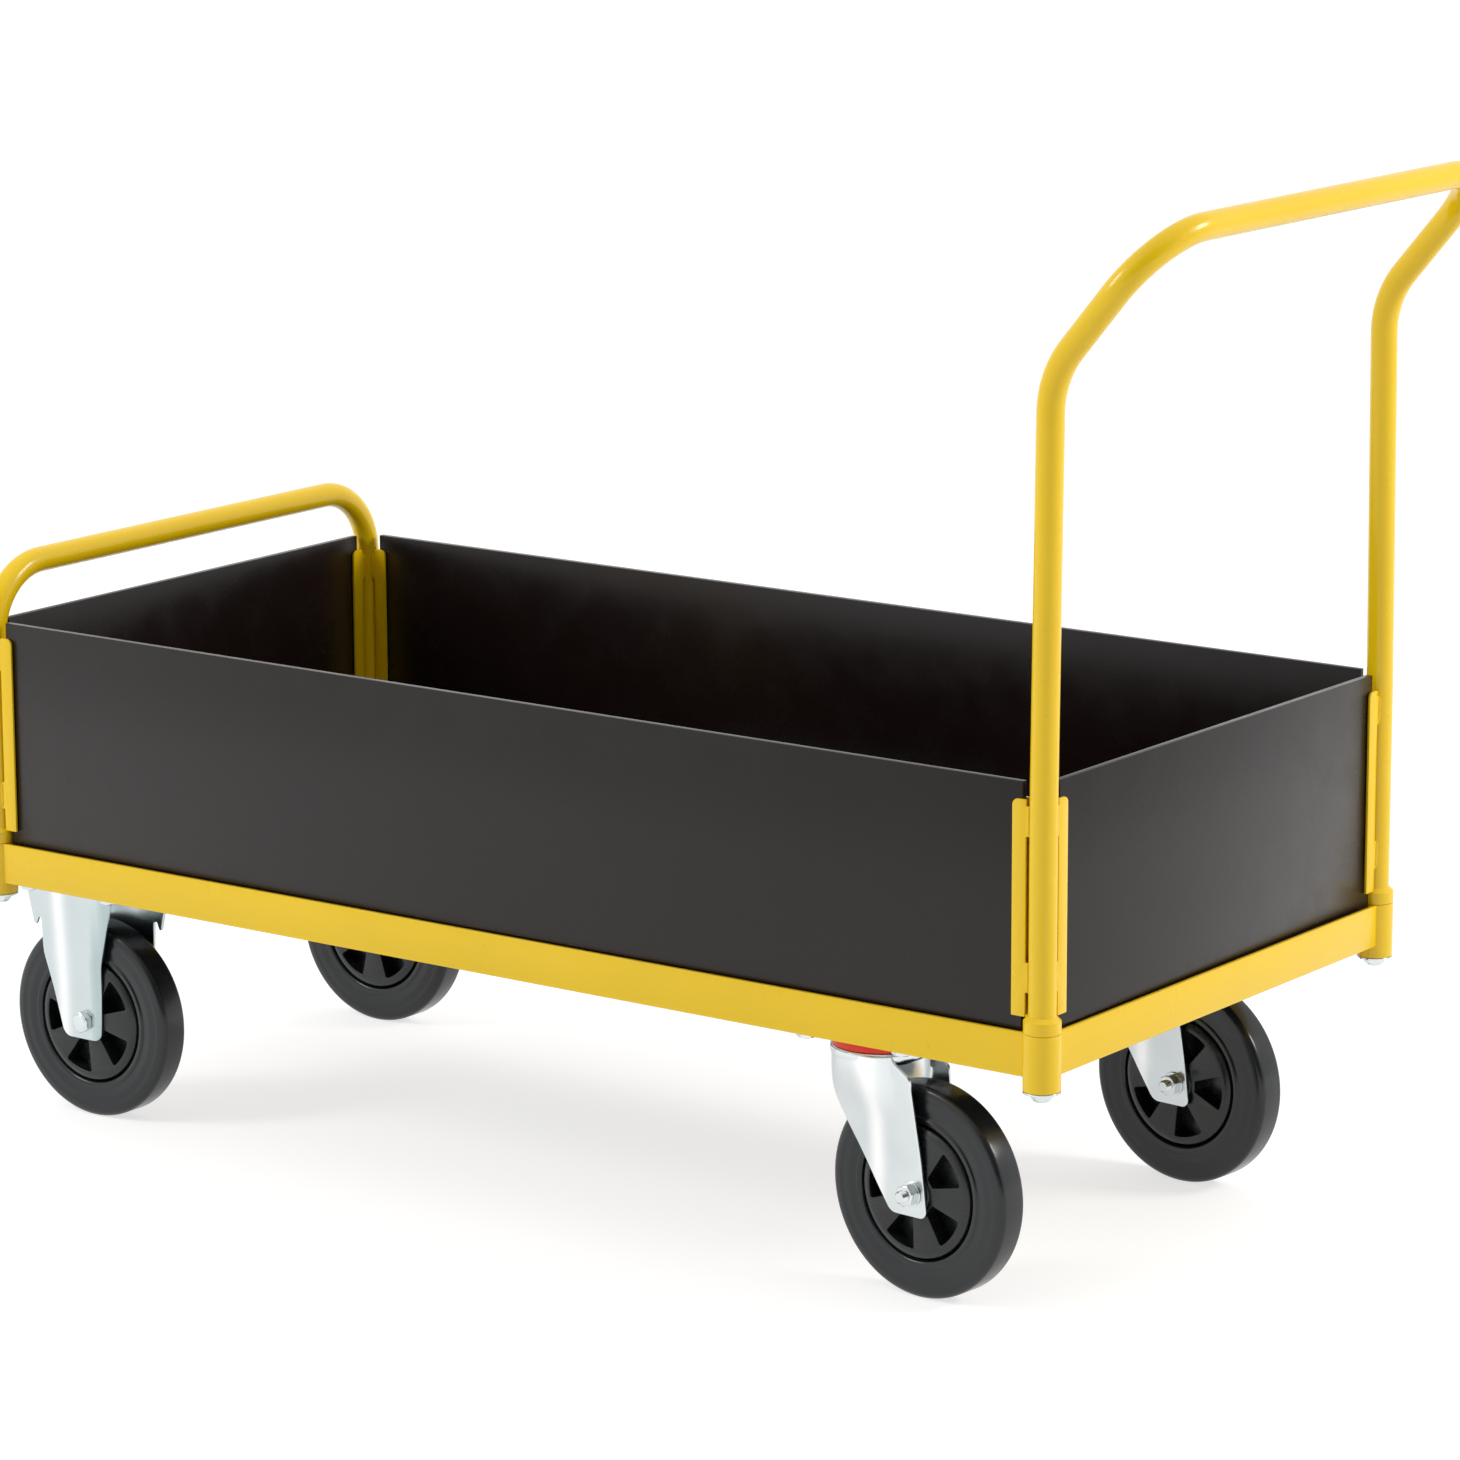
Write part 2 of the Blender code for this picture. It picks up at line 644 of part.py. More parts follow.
def strips_mesh(end):
    """An end's strips: at each leg, outside and inside the side panel and the end panel."""
    depths = (PANEL_INSET - HOLDER_CLEARANCE - HOLDER_WALL, PANEL_INSET + PANEL_WALL + HOLDER_CLEARANCE)
    upright = Matrix.Rotation(math.pi / 2, 4, "X")
    quarter = Matrix.Rotation(math.pi / 2, 4, "Z")
    along = ENDS[end]
    work = bmesh.new()
    for depth in depths:
        points, radii = strip_outline(strip_start(depth))
        mesh = slab_mesh(points, radii, HOLDER_WALL)
        middle = depth + HOLDER_WALL / 2
        for side in SIDES.values():
            for_side = Matrix.Translation((along * FRAME_LENGTH / 2, side * (FRAME_WIDTH / 2 - middle),
                                           HOLDER_BOTTOM)) @ Matrix.Diagonal((-along, 1, 1, 1))
            for_end = Matrix.Translation((along * (FRAME_LENGTH / 2 - middle), side * FRAME_WIDTH / 2,
                                          HOLDER_BOTTOM)) @ Matrix.Diagonal((1, -side, 1, 1))
            for place in (for_side @ upright, for_end @ quarter @ upright):
                start = len(work.verts)
                work.from_mesh(mesh)
                work.verts.ensure_lookup_table()
                bmesh.ops.transform(work, matrix=place, verts=work.verts[start:])
    group = bpy.data.meshes.new("strips")
    work.to_mesh(group)
    work.free()
    return tidy_mesh(group)


def make_tubes():
    """Each end's bent tube, with its collars, foot plugs and panel strips welded to it."""
    for name, end, path in (("push_handle", "handle", handle_path()), ("end_hoop", "hoop", hoop_path())):
        tube = piece(name, tube_mesh(path), "yellow_paint", ROOT)
        unite(tube, cutter(name + "_collars", repeated_mesh(collar_mesh(), leg_places(end)), ROOT),
              cutter(name + "_plugs", repeated_mesh(plug_mesh(), leg_places(end)), ROOT),
              cutter(name + "_strips", strips_mesh(end), ROOT))


def socket_bolt_mesh():
    """A domed hexagon bolt, from z = 0 at the underside of its head's hexagon."""
    width = SOCKET_BOLT_FLATS / math.cos(math.pi / 6)
    bolt = piece("bolt_blank", rod_mesh(width, SOCKET_BOLT_HEAD, 6), "zinc", None)
    shank = cutter("shank_blank", rod_mesh(SOCKET_BOLT_DIAMETER, SOCKET_BOLT_GRIP + SOCKET_BOLT_HEAD / 2), None,
                   (0, 0, SOCKET_BOLT_HEAD / 2))
    wide, narrow = SOCKET_BOLT_DOME_DIAMETER / 2, SOCKET_BOLT_TIP_DIAMETER / 2
    dome = turned_mesh([(0, SOCKET_BOLT_HEAD / 4), (wide, SOCKET_BOLT_HEAD / 4), (wide, 0),
                        (narrow, -SOCKET_BOLT_DOME), (0, -SOCKET_BOLT_DOME)], SMALL_STEPS, closed=False)
    cap = cutter("dome_blank", dome, None)
    unite(bolt, shank, cap)
    bpy.context.view_layer.update()
    mesh = solid_of(bolt)
    for blank in (shank, cap):
        bpy.data.objects.remove(blank, do_unlink=True)
    return mesh


def make_socket_fixings():
    """Under each socket a washer, and a domed hexagon bolt that goes up into the plug."""
    bore = SOCKET_BOLT_DIAMETER + 2 * BOLT_HOLE_GAP
    washer_top = SOCKET_BOTTOM - GAP
    head_bottom = washer_top - WASHER_WALL - GAP - SOCKET_BOLT_HEAD
    bolt = socket_bolt_mesh()
    for name, end, side in CORNERS:
        washer = ring_mesh(bore, SOCKET_DIAMETER, washer_top - WASHER_WALL, washer_top)
        piece("socket_washer_" + name, washer, "zinc", ROOT, (end * LEG_X, side * LEG_Y, 0))
        piece("socket_bolt_" + name, bolt.copy(), "zinc", ROOT, (end * LEG_X, side * LEG_Y, head_bottom))


def add_plate_fixings(name, plate, parent):
    """A plate's four cup-head bolts, up through the frame and the deck, with their nuts below.
    They are clamped to the plate and make one solid with it."""
    head, shank = PLATE_BOLT_HEAD_DIAMETER / 2, PLATE_BOLT_DIAMETER / 2
    under = DECK_TOP + GAP
    nut_bottom = PLATE_BOTTOM - PLATE_NUT_HEIGHT
    foot = nut_bottom - PLATE_BOLT_END
    profile = [(0, under + PLATE_BOLT_HEAD), (PLATE_BOLT_CROWN_DIAMETER / 2, under + PLATE_BOLT_HEAD),
               (head, under), (shank, under), (shank, foot), (0, foot)]
    places = plate_bolt_places(((0, 0),))
    bolts = repeated_mesh(turned_mesh(profile, SMALL_STEPS, closed=False), places)
    width = PLATE_NUT_FLATS / math.cos(math.pi / 6)
    nut = rod_mesh(width, PLATE_NUT_HEIGHT + PLATE_WALL / 2, 6)
    nut.transform(Matrix.Translation((0, 0, nut_bottom)))
    unite(plate, cutter(name + "_nuts", repeated_mesh(nut, places), parent),
          cutter(name + "_bolts", bolts, parent))


def plate_mesh():
    x, y = PLATE_LENGTH / 2, PLATE_WIDTH / 2
    return slab_mesh([(x, y), (-x, y), (-x, -y), (x, -y)], [PLATE_CORNER_RADIUS] * 4, PLATE_WALL)


def axle_hole(name, parent, x):
    """A cutter along Y at the axle's height."""
    mesh = rod_mesh(AXLE_DIAMETER + 2 * GAP, 4 * FORK_OUTER)
    return cutter(name, mesh, parent, (x, 2 * FORK_OUTER, AXLE_HEIGHT), (math.pi / 2, 0, 0))


def swivel_leg_outline():
    """Outline of a swivel fork's leg as (distance behind the kingpin, height)."""
    foot = AXLE_HEIGHT - LEG_BELOW_AXLE
    top = CROWN_TOP - LEG_BITE
    points = [(-SWIVEL_LEG_FRONT, top), (-SWIVEL_LEG_FRONT, AXLE_HEIGHT + SWIVEL_LEG_KNEE),
              (SWIVEL_OFFSET - SWIVEL_FOOT_FRONT, foot), (SWIVEL_OFFSET + SWIVEL_FOOT_BACK, foot),
              (SWIVEL_LEG_BACK, top)]
    radii = [0, SWIVEL_LEG_KNEE_RADIUS, LEG_CORNER_RADIUS, LEG_CORNER_RADIUS, SWIVEL_LEG_BACK_RADIUS]
    return points, radii


def fixed_leg_outline():
    """Outline of a fixed fork's leg as (distance from the axle, height). One edge flares wide
    and has a relief notch under the flare; the other edge is drawn in."""
    foot = AXLE_HEIGHT - FIXED_LEG_BELOW_AXLE
    top = PLATE_BOTTOM + LEG_BITE
    flare = [(x, AXLE_HEIGHT + rise) for x, rise in FIXED_LEG_FLARE]
    back = [(x, AXLE_HEIGHT + rise) for x, rise in FIXED_LEG_BACK]
    points = [(-FIXED_LEG_TOP_FRONT, top), *flare, (-FIXED_FOOT_FRONT, foot), (FIXED_FOOT_BACK, foot),
              *back, (FIXED_LEG_TOP_BACK, top)]
    radii = [0, *FIXED_LEG_FLARE_RADII, LEG_CORNER_RADIUS, LEG_CORNER_RADIUS, *FIXED_LEG_BACK_RADII, 0]
    return points, radii


def leg_mesh(outline):
    """A leg in the XY plane, y being height. Above a fold it leans out to the +Z side."""
    points, radii = outline
    work = bmesh.new()
    work.from_mesh(slab_mesh(points, radii, FORK_WALL))
    fold = AXLE_HEIGHT + LEG_FOLD_RISE
    bmesh.ops.bisect_plane(work, geom=[*work.verts, *work.edges, *work.faces], plane_co=(0, fold, 0),
                           plane_no=(0, 1, 0))
    for vert in work.verts:
        vert.co.z += LEG_SPLAY * max(0.0, vert.co.y - fold) / (PLATE_BOTTOM - fold)
    mesh = bpy.data.meshes.new("leg")
    work.to_mesh(mesh)
    work.free()
    return tidy_mesh(mesh)


def leg_cutters(name, parent, outline, flip_far):
    """A fork's two legs. The far one mirrors the near one, or is the near one turned half round."""
    middle = FORK_OUTER - FORK_WALL / 2
    legs = []
    for side, sign in SIDES.items():
        mesh = leg_mesh(outline)
        turned = flip_far and sign > 0
        if sign > 0 and not turned:
            mesh.transform(Matrix.Diagonal((1, 1, -1, 1)))
            tidy_mesh(mesh)
        turn = math.pi if turned else 0.0
        legs.append(cutter(name + "_leg_" + side, mesh, parent, (0, sign * middle, 0), (math.pi / 2, 0, turn)))
    return legs


def crown_mesh():
    """The pressed crown of a swivel fork: a disc with a rounded rim and a shallow bowl below."""
    outer = CROWN_DIAMETER / 2
    inner = outer - CROWN_TAPER
    low = CROWN_TOP - CROWN_DEPTH
    wall = 2 * FORK_WALL
    return turned_mesh([(outer - 0.002, CROWN_TOP), (outer, CROWN_TOP - 0.002), (outer, CROWN_TOP - CROWN_RIM),
                        (inner, low), (inner - FORK_WALL, low), (inner - FORK_WALL, CROWN_TOP - wall),
                        (KINGPIN_DIAMETER / 2 + GAP, CROWN_TOP - wall), (KINGPIN_DIAMETER / 2 + GAP, CROWN_TOP)],
                       CROWN_STEPS)


def make_swivel_head(side, centre):
    """The fixed half of a swivel caster: plate, ball race, seal ring and kingpin."""
    mesh = plate_mesh()
    plate = piece("swivel_plate_" + side, mesh, "zinc", centre, (0, 0, PLATE_BOTTOM + PLATE_WALL / 2))
    pin_hole = cutter("kingpin_hole_" + side, rod_mesh(KINGPIN_DIAMETER + 2 * GAP, 3 * PLATE_WALL), centre,
                      (0, 0, PLATE_BOTTOM - PLATE_WALL))
    add_plate_fixings("swivel_plate_" + side, plate, centre)
    cut(plate, pin_hole)
    race = ring_mesh(RACE_BORE, RACE_DIAMETER, CROWN_TOP + GAP, PLATE_BOTTOM - GAP)
    piece("ball_race_" + side, race, "bearing_steel", centre)
    pin, head = KINGPIN_DIAMETER / 2, KINGPIN_HEAD_DIAMETER / 2
    under = CROWN_TOP - 2 * FORK_WALL - GAP
    profile = [(0, PLATE_BOTTOM + PLATE_WALL - GAP), (pin, PLATE_BOTTOM + PLATE_WALL - GAP), (pin, under),
               (head, under), (head, under - KINGPIN_HEAD / 2), (KINGPIN_TIP_DIAMETER / 2, under - KINGPIN_HEAD),
               (0, under - KINGPIN_HEAD)]
    piece("kingpin_" + side, turned_mesh(profile, SMALL_STEPS, closed=False), "zinc", centre)


def make_swivel_fork(side, swivel):
    """The turning half: the crown and its two legs in one pressing, and the red seal ring."""
    fork = piece("swivel_fork_" + side, crown_mesh(), "zinc", swivel)
    unite(fork, *leg_cutters("swivel_" + side, swivel, swivel_leg_outline(), False))
    cut(fork, axle_hole("swivel_axle_hole_" + side, swivel, SWIVEL_OFFSET))
    outer = CROWN_DIAMETER / 2 - SEAL_EDGE
    inner = outer - SEAL_WALL
    low, high = CROWN_TOP + GAP, PLATE_BOTTOM - 2 * GAP
    piece("dust_seal_" + side, ring_mesh(2 * inner, 2 * outer, low, high, CROWN_STEPS), "seal_red", swivel)


def make_fixed_fork(side, centre):
    """A fixed caster's plate with two like legs, one turned half round from the other."""
    fork = piece("fixed_fork_" + side, plate_mesh(), "zinc", centre, (0, 0, PLATE_BOTTOM + PLATE_WALL / 2))
    unite(fork, *leg_cutters("fixed_" + side, centre, fixed_leg_outline(), True))
    add_plate_fixings("fixed_fork_" + side, fork, centre)
    cut(fork, axle_hole("fixed_axle_hole_" + side, centre, 0))


def axle_bolt_mesh():
    """A hexagon bolt along Z with its head at the bottom, about the wheel's middle."""
    width = AXLE_FLATS / math.cos(math.pi / 6)
    low = -FORK_OUTER - GAP - AXLE_HEAD
    length = 2 * (FORK_OUTER + GAP) + AXLE_NUT + AXLE_END + AXLE_HEAD
    shank = piece("shank_blank", rod_mesh(AXLE_DIAMETER, length), "zinc", None, (0, 0, low))
    head = cutter("head_blank", rod_mesh(width, AXLE_HEAD, 6), None, (0, 0, low))
    unite(shank, head)
    bpy.context.view_layer.update()
    mesh = solid_of(shank)
    bpy.data.objects.remove(head, do_unlink=True)
    mesh.transform(Matrix.Translation((0, 0, low)))
    return mesh


def axle_nut_mesh():
    width = AXLE_FLATS / math.cos(math.pi / 6)
    low = FORK_OUTER + GAP
    blank = piece("nut_blank", rod_mesh(width, AXLE_NUT, 6), "zinc", None, (0, 0, low))
    bore = cutter("nut_bore", rod_mesh(AXLE_DIAMETER + 2 * GAP, 3 * AXLE_NUT), None, (0, 0, low - AXLE_NUT))
    cut(blank, bore)
    bpy.context.view_layer.update()
    mesh = solid_of(blank)
    bpy.data.objects.remove(bore, do_unlink=True)
    mesh.transform(Matrix.Translation((0, 0, low)))
    return mesh


def make_fixed_axle(side, centre):
    """A fixed caster's bolt has its head on the left and its nut on the right."""
    spot = (0, 0, AXLE_HEIGHT)
    to_right = (-math.pi / 2, 0, 0)
    piece("fixed_axle_bolt_" + side, axle_bolt_mesh(), "zinc", centre, spot, to_right)
    piece("fixed_axle_nut_" + side, axle_nut_mesh(), "zinc", centre, spot, to_right)


def make_swivel_axle(side, swivel):
    """A swivel caster's bolt has its nut on the left."""
    spot = (SWIVEL_OFFSET, 0, AXLE_HEIGHT)
    to_left = (math.pi / 2, 0, 0)
    piece("swivel_axle_bolt_" + side, axle_bolt_mesh(), "zinc", swivel, spot, to_left)
    piece("swivel_axle_nut_" + side, axle_nut_mesh(), "zinc", swivel, spot, to_left)


def tyre_mesh():
    """Rubber tyre: a flat tread, bevelled shoulders and a sidewall that bulges at the rim.
    A flat of the tread is lowest, at the wheel's true radius."""
    flat = 1 / math.cos(math.pi / WHEEL_STEPS)
    half = TYRE_WIDTH / 2
    seat = RIM_DIAMETER / 2 * flat + GAP
    side = [(TREAD_WIDTH / 2, WHEEL_DIAMETER / 2 * flat),
            (half - TYRE_SHOULDER_STEP, SHOULDER_DIAMETER / 2),
            (half, SIDEWALL_DIAMETER / 2),
            (half - TYRE_SIDE_STEP, SEAM_DIAMETER / 2),
            (RIM_WIDTH / 2, seat)]
    upper = [(r, z) for z, r in reversed(side)]
    lower = [(r, -z) for z, r in side]
    return turned_mesh(upper + lower, WHEEL_STEPS, phase=math.pi / WHEEL_STEPS)


def window_cutter(name, parent):
    """One cutter with wedges for the windows between the spokes, turned as its wheel stands. The
    windows are pockets from both sides, with a floor left in the middle."""
    half = WINDOW_ANGLE / 2
    foot = WINDOW_FOOT_SHARE * half
    inner = WINDOW_INNER_RADIUS / math.cos(half)
    corners = [(r * math.cos(a), r * math.sin(a)) for r, a in
               ((inner, -foot), (WINDOW_OUTER_RADIUS, -half), (WINDOW_OUTER_RADIUS, half), (inner, foot))]
    wedge = slab_mesh(corners, [0] * 4, WEB_WALL)
    middle = (WINDOW_FLOOR + WEB_WALL) / 2
    turns = [WHEEL_TURNS[name] + math.tau * i / SPOKE_COUNT for i in range(SPOKE_COUNT)]
    places = [Matrix.Translation((0, 0, face * middle)) @ Matrix.Rotation(turn, 4, "Z")
              for turn in turns for face in (-1, 1)]
    return cutter("windows_" + name, repeated_mesh(wedge, places), parent, rotation=(math.pi / 2, 0, 0))


def rim_mesh():
    """Plastic rim: web, hub barrel and an outer band that slopes down to the tyre, turned in one."""
    flat = 1 / math.cos(math.pi / WHEEL_STEPS)
    band, web = RIM_DIAMETER / 2 * flat, WEB_DIAMETER / 2
    hub, bore = HUB_DIAMETER / 2, HUB_BORE / 2
    edge = RIM_WIDTH / 2 - 0.0005
    disc = WEB_WALL / 2
    end = FORK_INNER_WIDTH / 2 - HUB_END_GAP
    upper = [(bore, end), (hub, end), (hub + 0.002, disc), (web, disc), (band, edge)]
    lower = [(r, -z) for r, z in reversed(upper)]
    return turned_mesh(upper + lower, WHEEL_STEPS, phase=math.pi / WHEEL_STEPS)


def make_wheel(name, axle):
    """Tyre, rim and bearing bush, turning about the axle empty's Y axis. The flats of the bush's
    bore clear the bolt's corners, so that it turns freely."""
    upright = (math.pi / 2, 0, 0)
    piece("tyre_" + name, tyre_mesh(), "rubber", axle, rotation=upright)
    rim = piece("rim_" + name, rim_mesh(), "black_plastic", axle, rotation=upright)
    cut(rim, window_cutter(name, axle))
    half = FORK_INNER_WIDTH / 2 - 2 * HUB_END_GAP
    bore = (AXLE_DIAMETER + 2 * BEARING_CLEARANCE) / math.cos(math.pi / SMALL_STEPS)
    bush = ring_mesh(bore, HUB_BORE - 2 * GAP, -half, half, SMALL_STEPS)
    piece("wheel_bearing_" + name, bush, "bearing_steel", axle, rotation=upright)


def make_casters():
    for side, sign in SIDES.items():
        fixed = empty("fixed_caster_" + side, ROOT, (FIXED_PLACE, sign * CASTER_SPREAD, 0))
        make_fixed_fork(side, fixed)
        make_fixed_axle(side, fixed)
        make_wheel("hoop_" + side, empty("fixed_axle_" + side, fixed, (0, 0, AXLE_HEIGHT)))
        head = empty("swivel_head_" + side, ROOT, (SWIVEL_PLACE, sign * CASTER_SPREAD, 0))
        make_swivel_head(side, head)
        swivel = empty("swivel_axis_" + side, head, turn=SWIVEL_TURN)
        make_swivel_fork(side, swivel)
        make_swivel_axle(side, swivel)
        axle = empty("swivel_axle_" + side, swivel, (SWIVEL_OFFSET, 0, AXLE_HEIGHT))
        make_wheel("handle_" + side, axle)


clear_scene()
TROLLEY = make_collection("warehouse_trolley")
CUTTERS = make_collection("cutters")
ROOT = empty("trolley_root", None, (-ORIGIN_SHIFT, 0, 0))

BOLT_HOLES, COPINGS = make_hole_cutters()
make_side_rails(BOLT_HOLES, COPINGS)
make_end_rails(BOLT_HOLES, COPINGS)
make_caster_bars(BOLT_HOLES)
make_sockets()
make_deck(BOLT_HOLES)
make_panels()
make_tubes()
make_socket_fixings()
make_casters()
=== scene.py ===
"""Looks of the warehouse trolley: camera, light, materials and the detailed pieces that stand
for plain CAD nodes. Metres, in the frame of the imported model. Every piece's mesh is placed in
that frame, so its object sits at the origin."""
import json
import math

import bmesh
import bpy
from mathutils import Matrix, Vector


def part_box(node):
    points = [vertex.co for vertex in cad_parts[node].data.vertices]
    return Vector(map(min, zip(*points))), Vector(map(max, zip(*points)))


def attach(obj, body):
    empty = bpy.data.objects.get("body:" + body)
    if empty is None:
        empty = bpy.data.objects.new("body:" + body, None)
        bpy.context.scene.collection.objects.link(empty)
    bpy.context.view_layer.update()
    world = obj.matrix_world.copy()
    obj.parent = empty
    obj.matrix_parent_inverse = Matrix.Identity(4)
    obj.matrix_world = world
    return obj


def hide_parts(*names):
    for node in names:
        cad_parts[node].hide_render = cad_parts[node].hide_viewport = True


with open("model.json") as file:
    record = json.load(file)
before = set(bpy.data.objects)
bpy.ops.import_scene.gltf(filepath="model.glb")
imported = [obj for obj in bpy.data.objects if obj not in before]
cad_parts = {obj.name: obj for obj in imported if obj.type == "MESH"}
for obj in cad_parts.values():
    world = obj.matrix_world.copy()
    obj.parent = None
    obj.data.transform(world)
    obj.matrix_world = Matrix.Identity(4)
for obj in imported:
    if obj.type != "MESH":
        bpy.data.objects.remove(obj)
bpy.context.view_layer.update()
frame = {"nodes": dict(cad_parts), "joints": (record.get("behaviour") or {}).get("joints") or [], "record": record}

ENDS = {"hoop": -1, "handle": 1}
SIDES = {"left": -1, "right": 1}
CORNERS = [(end, side) for end in ENDS for side in SIDES]

# Places read from the solids
DECK_LOW, DECK_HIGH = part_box("deck_board")
DECK_X = (DECK_LOW.x + DECK_HIGH.x) / 2
FRAME_X = {"hoop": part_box("end_rail_hoop")[0].x, "handle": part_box("end_rail_handle")[1].x}
FRAME_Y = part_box("side_rail_right")[1].y
RAIL_LOW, RAIL_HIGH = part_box("side_rail_left")[0].z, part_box("side_rail_left")[1].z
SOCKET_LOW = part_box("corner_socket_handle_left")[0]
SOCKET_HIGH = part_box("corner_socket_handle_left")[1]
SOCKET_RADIUS = (SOCKET_HIGH.y - SOCKET_LOW.y) / 2
LEG_Y = -(SOCKET_LOW.y + SOCKET_HIGH.y) / 2
LEG_X = {}
for end_name in ENDS:
    socket_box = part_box("corner_socket_" + end_name + "_left")
    LEG_X[end_name] = (socket_box[0].x + socket_box[1].x) / 2
CROWN_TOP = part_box("swivel_fork_left")[1].z

# Tubes
TUBE_RADIUS = 0.0125
HANDLE_SLANT = math.radians(40)
HANDLE_PINCH = 0.006
HANDLE_PINCH_RADIUS = 2.0
HANDLE_BEND_RADIUS = 0.090
HANDLE_CORNER_RADIUS = 0.070
HOOP_CORNER_RADIUS = 0.070
HANDLE_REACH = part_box("push_handle")[1].x - TUBE_RADIUS
HANDLE_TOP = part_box("push_handle")[1].z - TUBE_RADIUS
HOOP_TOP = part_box("end_hoop")[1].z - TUBE_RADIUS
COLLAR_HEIGHT = 0.0112
COLLAR_TAPER = 0.004
FOOT_LIFT = 0.0006
SOCKET_WALL = 0.004
TUBE_SIDES = 22
TUBE_TURN_STEP = math.radians(3)

# How far sharp edges are rounded
RAIL_EDGE, SHEET_EDGE, STRIP_EDGE, BOARD_EDGE = 0.0007, 0.0008, 0.0004, 0.0004

# Panels and the strips that hold them
PANEL_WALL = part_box("panel_left")[1].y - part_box("panel_left")[0].y
PANEL_DEPTH = FRAME_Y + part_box("panel_left")[0].y
STRIP_WALL = 0.0025
STRIP_CLEARANCE = 0.0005
STRIP_LENGTH = 0.195
STRIP_BOTTOM = RAIL_HIGH + 0.0135
STRIP_WIDTH = 0.0142
STRIP_CORNER_RADIUS = 0.006
TAB_REACH = 0.0035
TAB_LENGTH = 0.027
TOP_NOTCH = 0.006
FOOT_NOTCH = 0.022
TAB_BITE = 0.0007

# Casters
GAP = 0.0003
PLATE_LENGTH, PLATE_WIDTH, PLATE_WALL, PLATE_CORNER = 0.138, 0.105, 0.005, 0.014
PLATE_BOTTOM = RAIL_LOW - GAP - PLATE_WALL
PITCH_X, PITCH_Y = 0.105, 0.084
FORK_WALL = 0.003
FORK_OUTER = 0.0245
LEG_FOLD = 0.130
LEG_SPLAY = 0.0075
CROWN_RADIUS = 0.0465
AXLE_HEIGHT = 0.1
AXLE_FLATS = 0.019
AXLE_RADIUS = 0.006
AXLE_HEAD, AXLE_NUT, AXLE_END = 0.0075, 0.010, 0.0065
NUT_FLATS = 0.017
WHEEL_STEPS = 128
SHARP = math.radians(38)

# Weld beads
BEAD_RADIUS, BEAD_RIPPLES = 0.0013, 5
BEAD_OFFSET = 0.0006
BEAD_INSET = 0.002
SEAM_RADIUS, SEAM_OFFSET, SEAM_DROP = 0.0016, 0.0009, 0.0006
SEAM_STEP_DEGREES = 5
SEAM_MIDDLE_DEGREES = {-1: 200, 1: 150}

# Bolts, nuts and washers. BITE is how far a hidden end reaches into the piece beside it
THREAD_PITCH, THREAD_DEPTH = 0.0015, 0.0007
SHANK_RADIUS = 0.005
BITE = 0.001
SOCKET_HEAD_HEIGHT = 0.0052
SOCKET_WASHER_BORE = 0.0054
DOME_RADIUS, DOME_START, DOME_RISE, DOME_BACK = 0.0085, 0.0045, 0.004, 0.004
CUP_CROWN, CUP_RADIUS, CUP_HEIGHT, CUP_RIM = 0.0048, 0.008, 0.0035, 0.0008
PLATE_NUT_DROP, PLATE_NUT_SEAT = 0.0065, 0.001
PLATE_WASHER_RADIUS, PLATE_WASHER_BORE, PLATE_WASHER_WALL = 0.0092, 0.004, 0.0012
PLATE_BOLT_TIP = 0.0015
AXLE_FACE_RADIUS, AXLE_FACE_RISE = 0.0078, 0.0004
AXLE_WASHER_RADIUS, AXLE_WASHER_BORE, AXLE_WASHER_WALL = 0.0115, 0.0065, 0.0016
AXLE_NUT_FLATS, AXLE_NUT_SEAT = AXLE_FLATS - 0.0006, 0.0014
AXLE_NUT_TURN = math.radians(12)

# Pressed legs and the swivel's crown
CUT_STEP = 0.004
LEG_FOLD_HALF = 0.012
CREASE_HALF, CREASE_SLOPE = 0.006, 0.05
# Width of the painted highlight along a leg's fold
CREASE_HIGHLIGHT_WIDTH = 0.0085
FIXED_CREASE, SWIVEL_CREASE = -0.027, 0.017
FIXED_FOOT, SWIVEL_FOOT = 0.019, 0.0215
ROLL_EDGE, ROLL_START, ROLL_LEAN = 0.0200, 0.160, 0.26
ROLL_WIDTH, ROLL_DEPTH = 0.012, 0.0025
# How much the fixed forks' zinc is darkened all over, and the painted shade on their rolled edge
FIXED_SHADE, ROLL_SHADE = 0.28, 0.75
FLOW_START, FLOW_HEIGHT, FLOW_CUT = 0.160, 0.056, 0.006
CROWN_DEPTH, CROWN_WALL, CROWN_BORE = 0.0125, 0.006, 0.0063
SEAL_INSET, SEAL_WIDTH, SEAL_LIP = 0.0015, 0.009, 0.0012

# Wheels. TYRE_SIDE is one side of the tyre, from the middle of its tread to the rim, as radius,
# distance from the wheel's middle and rounding. WHEEL_TURNS are degrees, as on the solids
TYRE_SIDE = [
    (0.1000, 0.0000, 0),
    (0.1000, 0.0131, 0.0050),
    (0.0962, 0.0160, 0.0060),
    (0.0900, 0.0170, 0.0060),
    (0.0870, 0.0166, 0.0050),
    (0.0800, 0.0174, 0.0120),
    (0.0719, 0.0160, 0.0012),
    (0.0700, 0.0178, 0.0018),
    (0.0651, 0.0168, 0.0022),
    (0.0641, 0.0132, 0.0008),
    (0.0637, 0.0122, 0),
]
RIM_BAND, RIM_WEB = 0.0634, 0.0560
RIM_EDGE, RIM_DISC = 0.0118, 0.019
RIM_FLOOR = 0.002
HUB_BORE, HUB_FACE, HUB_RADIUS = 0.0066, 0.0170, 0.0182
HUB_CLEARANCE = 0.0008
SPIDER_BORE = 0.0150
SPOKES = 5
WINDOW_INNER, WINDOW_OUTER = 0.0205, 0.0538
WINDOW_HALF = math.radians(18.5)
WINDOW_FOOT = 0.75
WHEEL_TURNS = {"handle_left": 34, "hoop_left": 38, "handle_right": -2, "hoop_right": 20}

